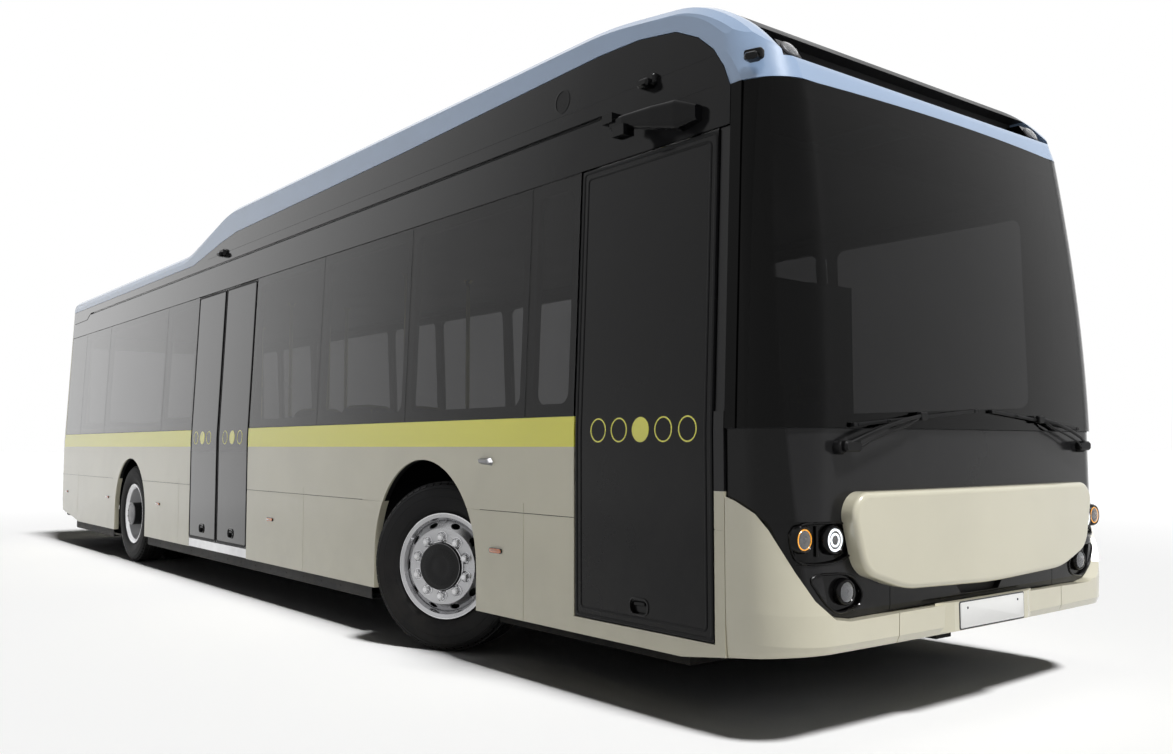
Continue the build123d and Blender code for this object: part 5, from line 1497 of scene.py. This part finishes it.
class BUS_OT_saloon(BusOperator, bpy.types.Operator):
    """Padded seats with shells and grab handles, driver's seat, rails and the driver's place"""

    bl_idname = "bus.saloon"
    bl_label = "Saloon"

    def execute(self, context):
        self.passenger_seats()
        self.driver_seat()
        self.rails()
        self.cab()
        return {"FINISHED"}

    def passenger_seats(self):
        """All seats: cushions in one piece, shells and frames in another."""
        pads, shells, grips = Shape(), Shape(), Shape()
        for x, side, rows in SEAT_ROWS:
            pad, shell, grip = Shape(), Shape(), Shape()
            for across in SEATS_ACROSS:
                seat, back = (shift(x + along, side * across, z) for along, z in (CUSHION_PLACE, BACK_PLACE))
                back = back @ Matrix.Rotation(BACK_RAKE, 4, "Y")
                pad.take(cushion(*CUSHION), seat)
                pad.take(cushion(*BACK_CUSHION), back)
                shell.pad(seat @ shift(z=SEAT_PAN_DOWN), *SEAT_PAN)
                shell.pad(back @ shift(z=BACK_SHELL_DOWN), *BACK_SHELL)
                path = [back @ Vector((*point, GRIP_DOWN)) for point in GRIP_PATH]
                grip.tube(path, GRIP_RADIUS, steps=10, up=AHEAD)
            foot_x, middle = x + PEDESTAL_X, side * SEATS_MIDDLE
            shell.pad(shift(foot_x, middle, FLOOR_Z), *PEDESTAL_FOOT)
            column = [Vector((foot_x, middle, z)) for z in PEDESTAL_HEIGHTS]
            shell.tube(column, PEDESTAL_RADIUS, steps=16, up=AHEAD)
            shell.pad(shift(foot_x, middle, SEAT_BEAM_Z), *SEAT_BEAM)
            for target, part, finish in ((pads, pad, "seat cloth"), (shells, shell, "seat shell"),
                                         (grips, grip, "rail steel")):
                target.take(repeated(part, finish, rows, offset=(SEAT_PITCH, 0, 0)))
        padded = piece("passenger_pads", pads, "seat cloth",
                       replaces=("passenger_seats",), crease=60)
        piece("seat_shells", shells, "seat shell")
        piece("seat_grips", grips, "rail steel")

    def driver_seat(self):
        """Driver's cushions, bolster shell and pedestal."""
        pads, stand = Shape(), Shape()
        seat, back, head = (shift(x, DRIVER_Y, z) for x, z in (DRIVER_SEAT, DRIVER_BACK, DRIVER_HEAD))
        rake = Matrix.Rotation(DRIVER_RAKE, 4, "Y")
        pads.take(cushion(*DRIVER_CUSHION), seat)
        pads.take(cushion(*DRIVER_BACK_CUSHION), back @ rake)
        pads.take(cushion(*DRIVER_HEADREST), head @ rake)
        stand.pad(seat @ shift(z=DRIVER_PAN_DOWN), *DRIVER_PAN)
        stand.pad(back @ rake @ shift(z=DRIVER_SHELL_DOWN), *DRIVER_SHELL)
        for y in RODS_ACROSS:
            stand.tube([Vector((ROD_X, DRIVER_Y + y, z)) for z in ROD_HEIGHTS], ROD_RADIUS, up=AHEAD)
        folds = [(BELLOWS_Z + FOLD_STEP * i, (INNER_FOLD, OUTER_FOLD)[i % 2]) for i in range(BELLOWS_FOLDS)]
        rings = []
        for z, size in [BELLOWS_FOOT, *folds, BELLOWS_TOP]:
            outline = soft_box(size, size * BELLOWS_DEPTH, BELLOWS_CORNER)
            rings.append([Vector((BELLOWS_X + x, DRIVER_Y + y, z)) for x, y in outline])
        stand.skin(rings, caps=True)
        padded = piece("driver_pads", pads, "seat cloth", replaces=("driver_seat",), crease=60)
        piece("driver_seat_frame", stand, "cabin plastic")

    def rails(self):
        """Bosses at the ends of the poles, and stop buttons."""
        bosses, buttons = Shape(), Shape()
        for x, y in POLES:
            for z, flip in ((BOSS_Z, 1), (CEILING_Z, -1)):
                bosses.lathe(shift(x, y, z) @ Matrix.Diagonal((1, 1, flip, 1)), POLE_BOSS, 24)
            buttons.pad(facing((x + STOP_BUTTON_OUT, y, STOP_BUTTON_Z), AHEAD), *STOP_BUTTON)
        piece("pole_bosses", bosses, "rail steel")
        piece("stop_buttons", buttons, "cabin plastic")

    def cab(self):
        """Instrument hood, screens and ticket machine on the dashboard."""
        rows = [[Vector((x, DRIVER_Y + y, z)) for x, z in HOOD_SECTION] for y in HOOD_ENDS]
        hood = Shape().skin(rows, caps=True)
        hood.pad(facing(TICKET_PLACE, TICKET_NORMAL, AHEAD), *TICKET_MACHINE)
        screens = Shape().pad(facing(SCREEN_PLACE, ASTERN), *SCREEN)
        piece("instrument_hood", hood, "cabin plastic")
        piece("cab_screens", screens, "dark lens")


# ---- studio
WHITE = (1, 1, 1, 1)
FLOOR_REACH = 220.0
WHITE_FROM, WHITE_TO = 7.0, 22.0
GLOW_FROM, GLOW_TO, FAR_GLOW = 7.5, 15.0, 0.12
LIGHT_SOURCE, LIGHT_DISTANCE = Vector((0.50, 0.0, 0.87)), 12
SENSOR_WIDTH, VIEW_END = 36.0, 500.0


class BUS_OT_studio(BusOperator, bpy.types.Operator):
    """Floor, soft light and camera"""

    bl_idname = "bus.studio"
    bl_label = "Studio"

    def execute(self, context):
        studio = context.scene.bus_studio
        self.make_floor(studio)
        self.make_world(context.scene, studio)
        self.make_light(studio)
        self.make_camera(context.scene, studio)
        context.scene.view_settings.view_transform = "Standard"
        return {"FINISHED"}

    def add(self, name, data):
        """New object in the scene."""
        made = bpy.data.objects.new(name, data)
        bpy.context.scene.collection.objects.link(made)
        return made

    def seen(self, graph):
        """1 where the camera looks, straight or by way of gloss or glass, and 0 for light on the bus."""
        path = graph.add("ShaderNodeLightPath").outputs
        return graph.math("MAXIMUM", path["Is Camera Ray"],
                          graph.math("MAXIMUM", path["Is Glossy Ray"], path["Is Transmission Ray"]))

    def make_floor(self, studio):
        """Pale floor that keeps the shadow and is white to look at."""
        mesh = bpy.data.meshes.new("studio_floor")
        corners = [(x * FLOOR_REACH, y * FLOOR_REACH, 0) for x, y in ((-1, -1), (1, -1), (1, 1), (-1, 1))]
        mesh.from_pydata(corners, [], [(0, 1, 2, 3)])
        values = {"Roughness": 0.8, "Specular IOR Level": 0.0, "Emission Color": WHITE}
        finish = Finish("studio floor", values)
        graph = finish.graph
        grain = graph.noise(finish.place, scale=1.5, detail=2.0)
        tone = graph.mottle(grain, 0.3, 0.7, studio.floor_colour, 0.985)
        away = graph.add("ShaderNodeVectorMath", {0: finish.place}, operation="LENGTH").outputs["Value"]
        white = graph.span(away, WHITE_FROM, WHITE_TO, studio.floor_white, 1.0)
        seen = self.seen(graph)
        finish.set("Base Color", graph.mix(seen, tone, white))
        finish.set("Emission Strength", graph.both(seen, graph.span(away, GLOW_FROM, GLOW_TO, 0.0, FAR_GLOW)))
        mesh.materials.append(finish.material)
        self.add("studio_floor", mesh)

    def make_world(self, scene, studio):
        """White seen directly and in reflections, softer as light."""
        world = bpy.data.worlds.new("studio world")
        scene.world = world
        world.use_nodes = True
        graph = Graph(world.node_tree)
        back = world.node_tree.nodes["Background"].inputs
        graph.set(back["Color"], WHITE)
        graph.set(back["Strength"], graph.span(self.seen(graph), 0.0, 1.0, studio.sky_light, 1.0))

    def make_light(self, studio):
        """Broad soft light from high over the front."""
        data = bpy.data.lights.new("overhead", "SUN")
        data.energy = studio.overhead
        data.angle = studio.overhead_spread
        lamp = self.add("overhead", data)
        lamp.location = LIGHT_SOURCE * LIGHT_DISTANCE
        lamp.rotation_euler = LIGHT_SOURCE.to_track_quat("Z", "Y").to_euler()

    def make_camera(self, scene, studio):
        """Camera at the view of the front right corner."""
        data = bpy.data.cameras.new("camera")
        data.lens = studio.camera_lens
        data.sensor_width = SENSOR_WIDTH
        data.clip_end = VIEW_END
        camera = self.add("camera", data)
        yaw, pitch = studio.camera_yaw, studio.camera_pitch
        ahead = Vector((math.cos(yaw) * math.cos(pitch), math.sin(yaw) * math.cos(pitch), math.sin(pitch)))
        right = Vector((math.sin(yaw), -math.cos(yaw), 0))
        view = Matrix((right, right.cross(ahead), -ahead)).transposed()
        turn = view @ Matrix.Rotation(studio.camera_roll, 3, "Z")
        camera.matrix_world = Matrix.Translation(studio.camera_place) @ turn.to_4x4()
        scene.camera = camera


class BUS_PT_panel(bpy.types.Panel):
    """Buttons for each group of pieces"""

    bl_label = "City Bus"
    bl_idname = "BUS_PT_panel"
    bl_space_type = "VIEW_3D"
    bl_region_type = "UI"
    bl_category = "Bus"

    def draw(self, context):
        for operator in STEPS:
            self.layout.operator(operator.bl_idname)


SETTINGS = (
    ("bus_livery", BusLivery), ("bus_studio", BusStudio), ("bus_wheels", BusWheels), ("bus_trim", BusTrim),
)
STEPS = (
    BUS_OT_finishes, BUS_OT_tyres, BUS_OT_wheel_fittings, BUS_OT_front_lamps, BUS_OT_wipers, BUS_OT_plates,
    BUS_OT_doors, BUS_OT_side_trim, BUS_OT_roof_trim, BUS_OT_rear_trim, BUS_OT_saloon, BUS_OT_studio,
)


def register():
    for name, settings in SETTINGS:
        bpy.utils.register_class(settings)
        setattr(bpy.types.Scene, name, bpy.props.PointerProperty(type=settings))
    for operator in STEPS:
        bpy.utils.register_class(operator)
    bpy.utils.register_class(BUS_PT_panel)


def unregister():
    bpy.utils.unregister_class(BUS_PT_panel)
    for operator in reversed(STEPS):
        bpy.utils.unregister_class(operator)
    for name, settings in reversed(SETTINGS):
        delattr(bpy.types.Scene, name)
        bpy.utils.unregister_class(settings)


def main():
    register()
    for step in STEPS:
        group, name = step.bl_idname.split(".")
        getattr(getattr(bpy.ops, group), name)()


if __name__ == "__main__":
    main()
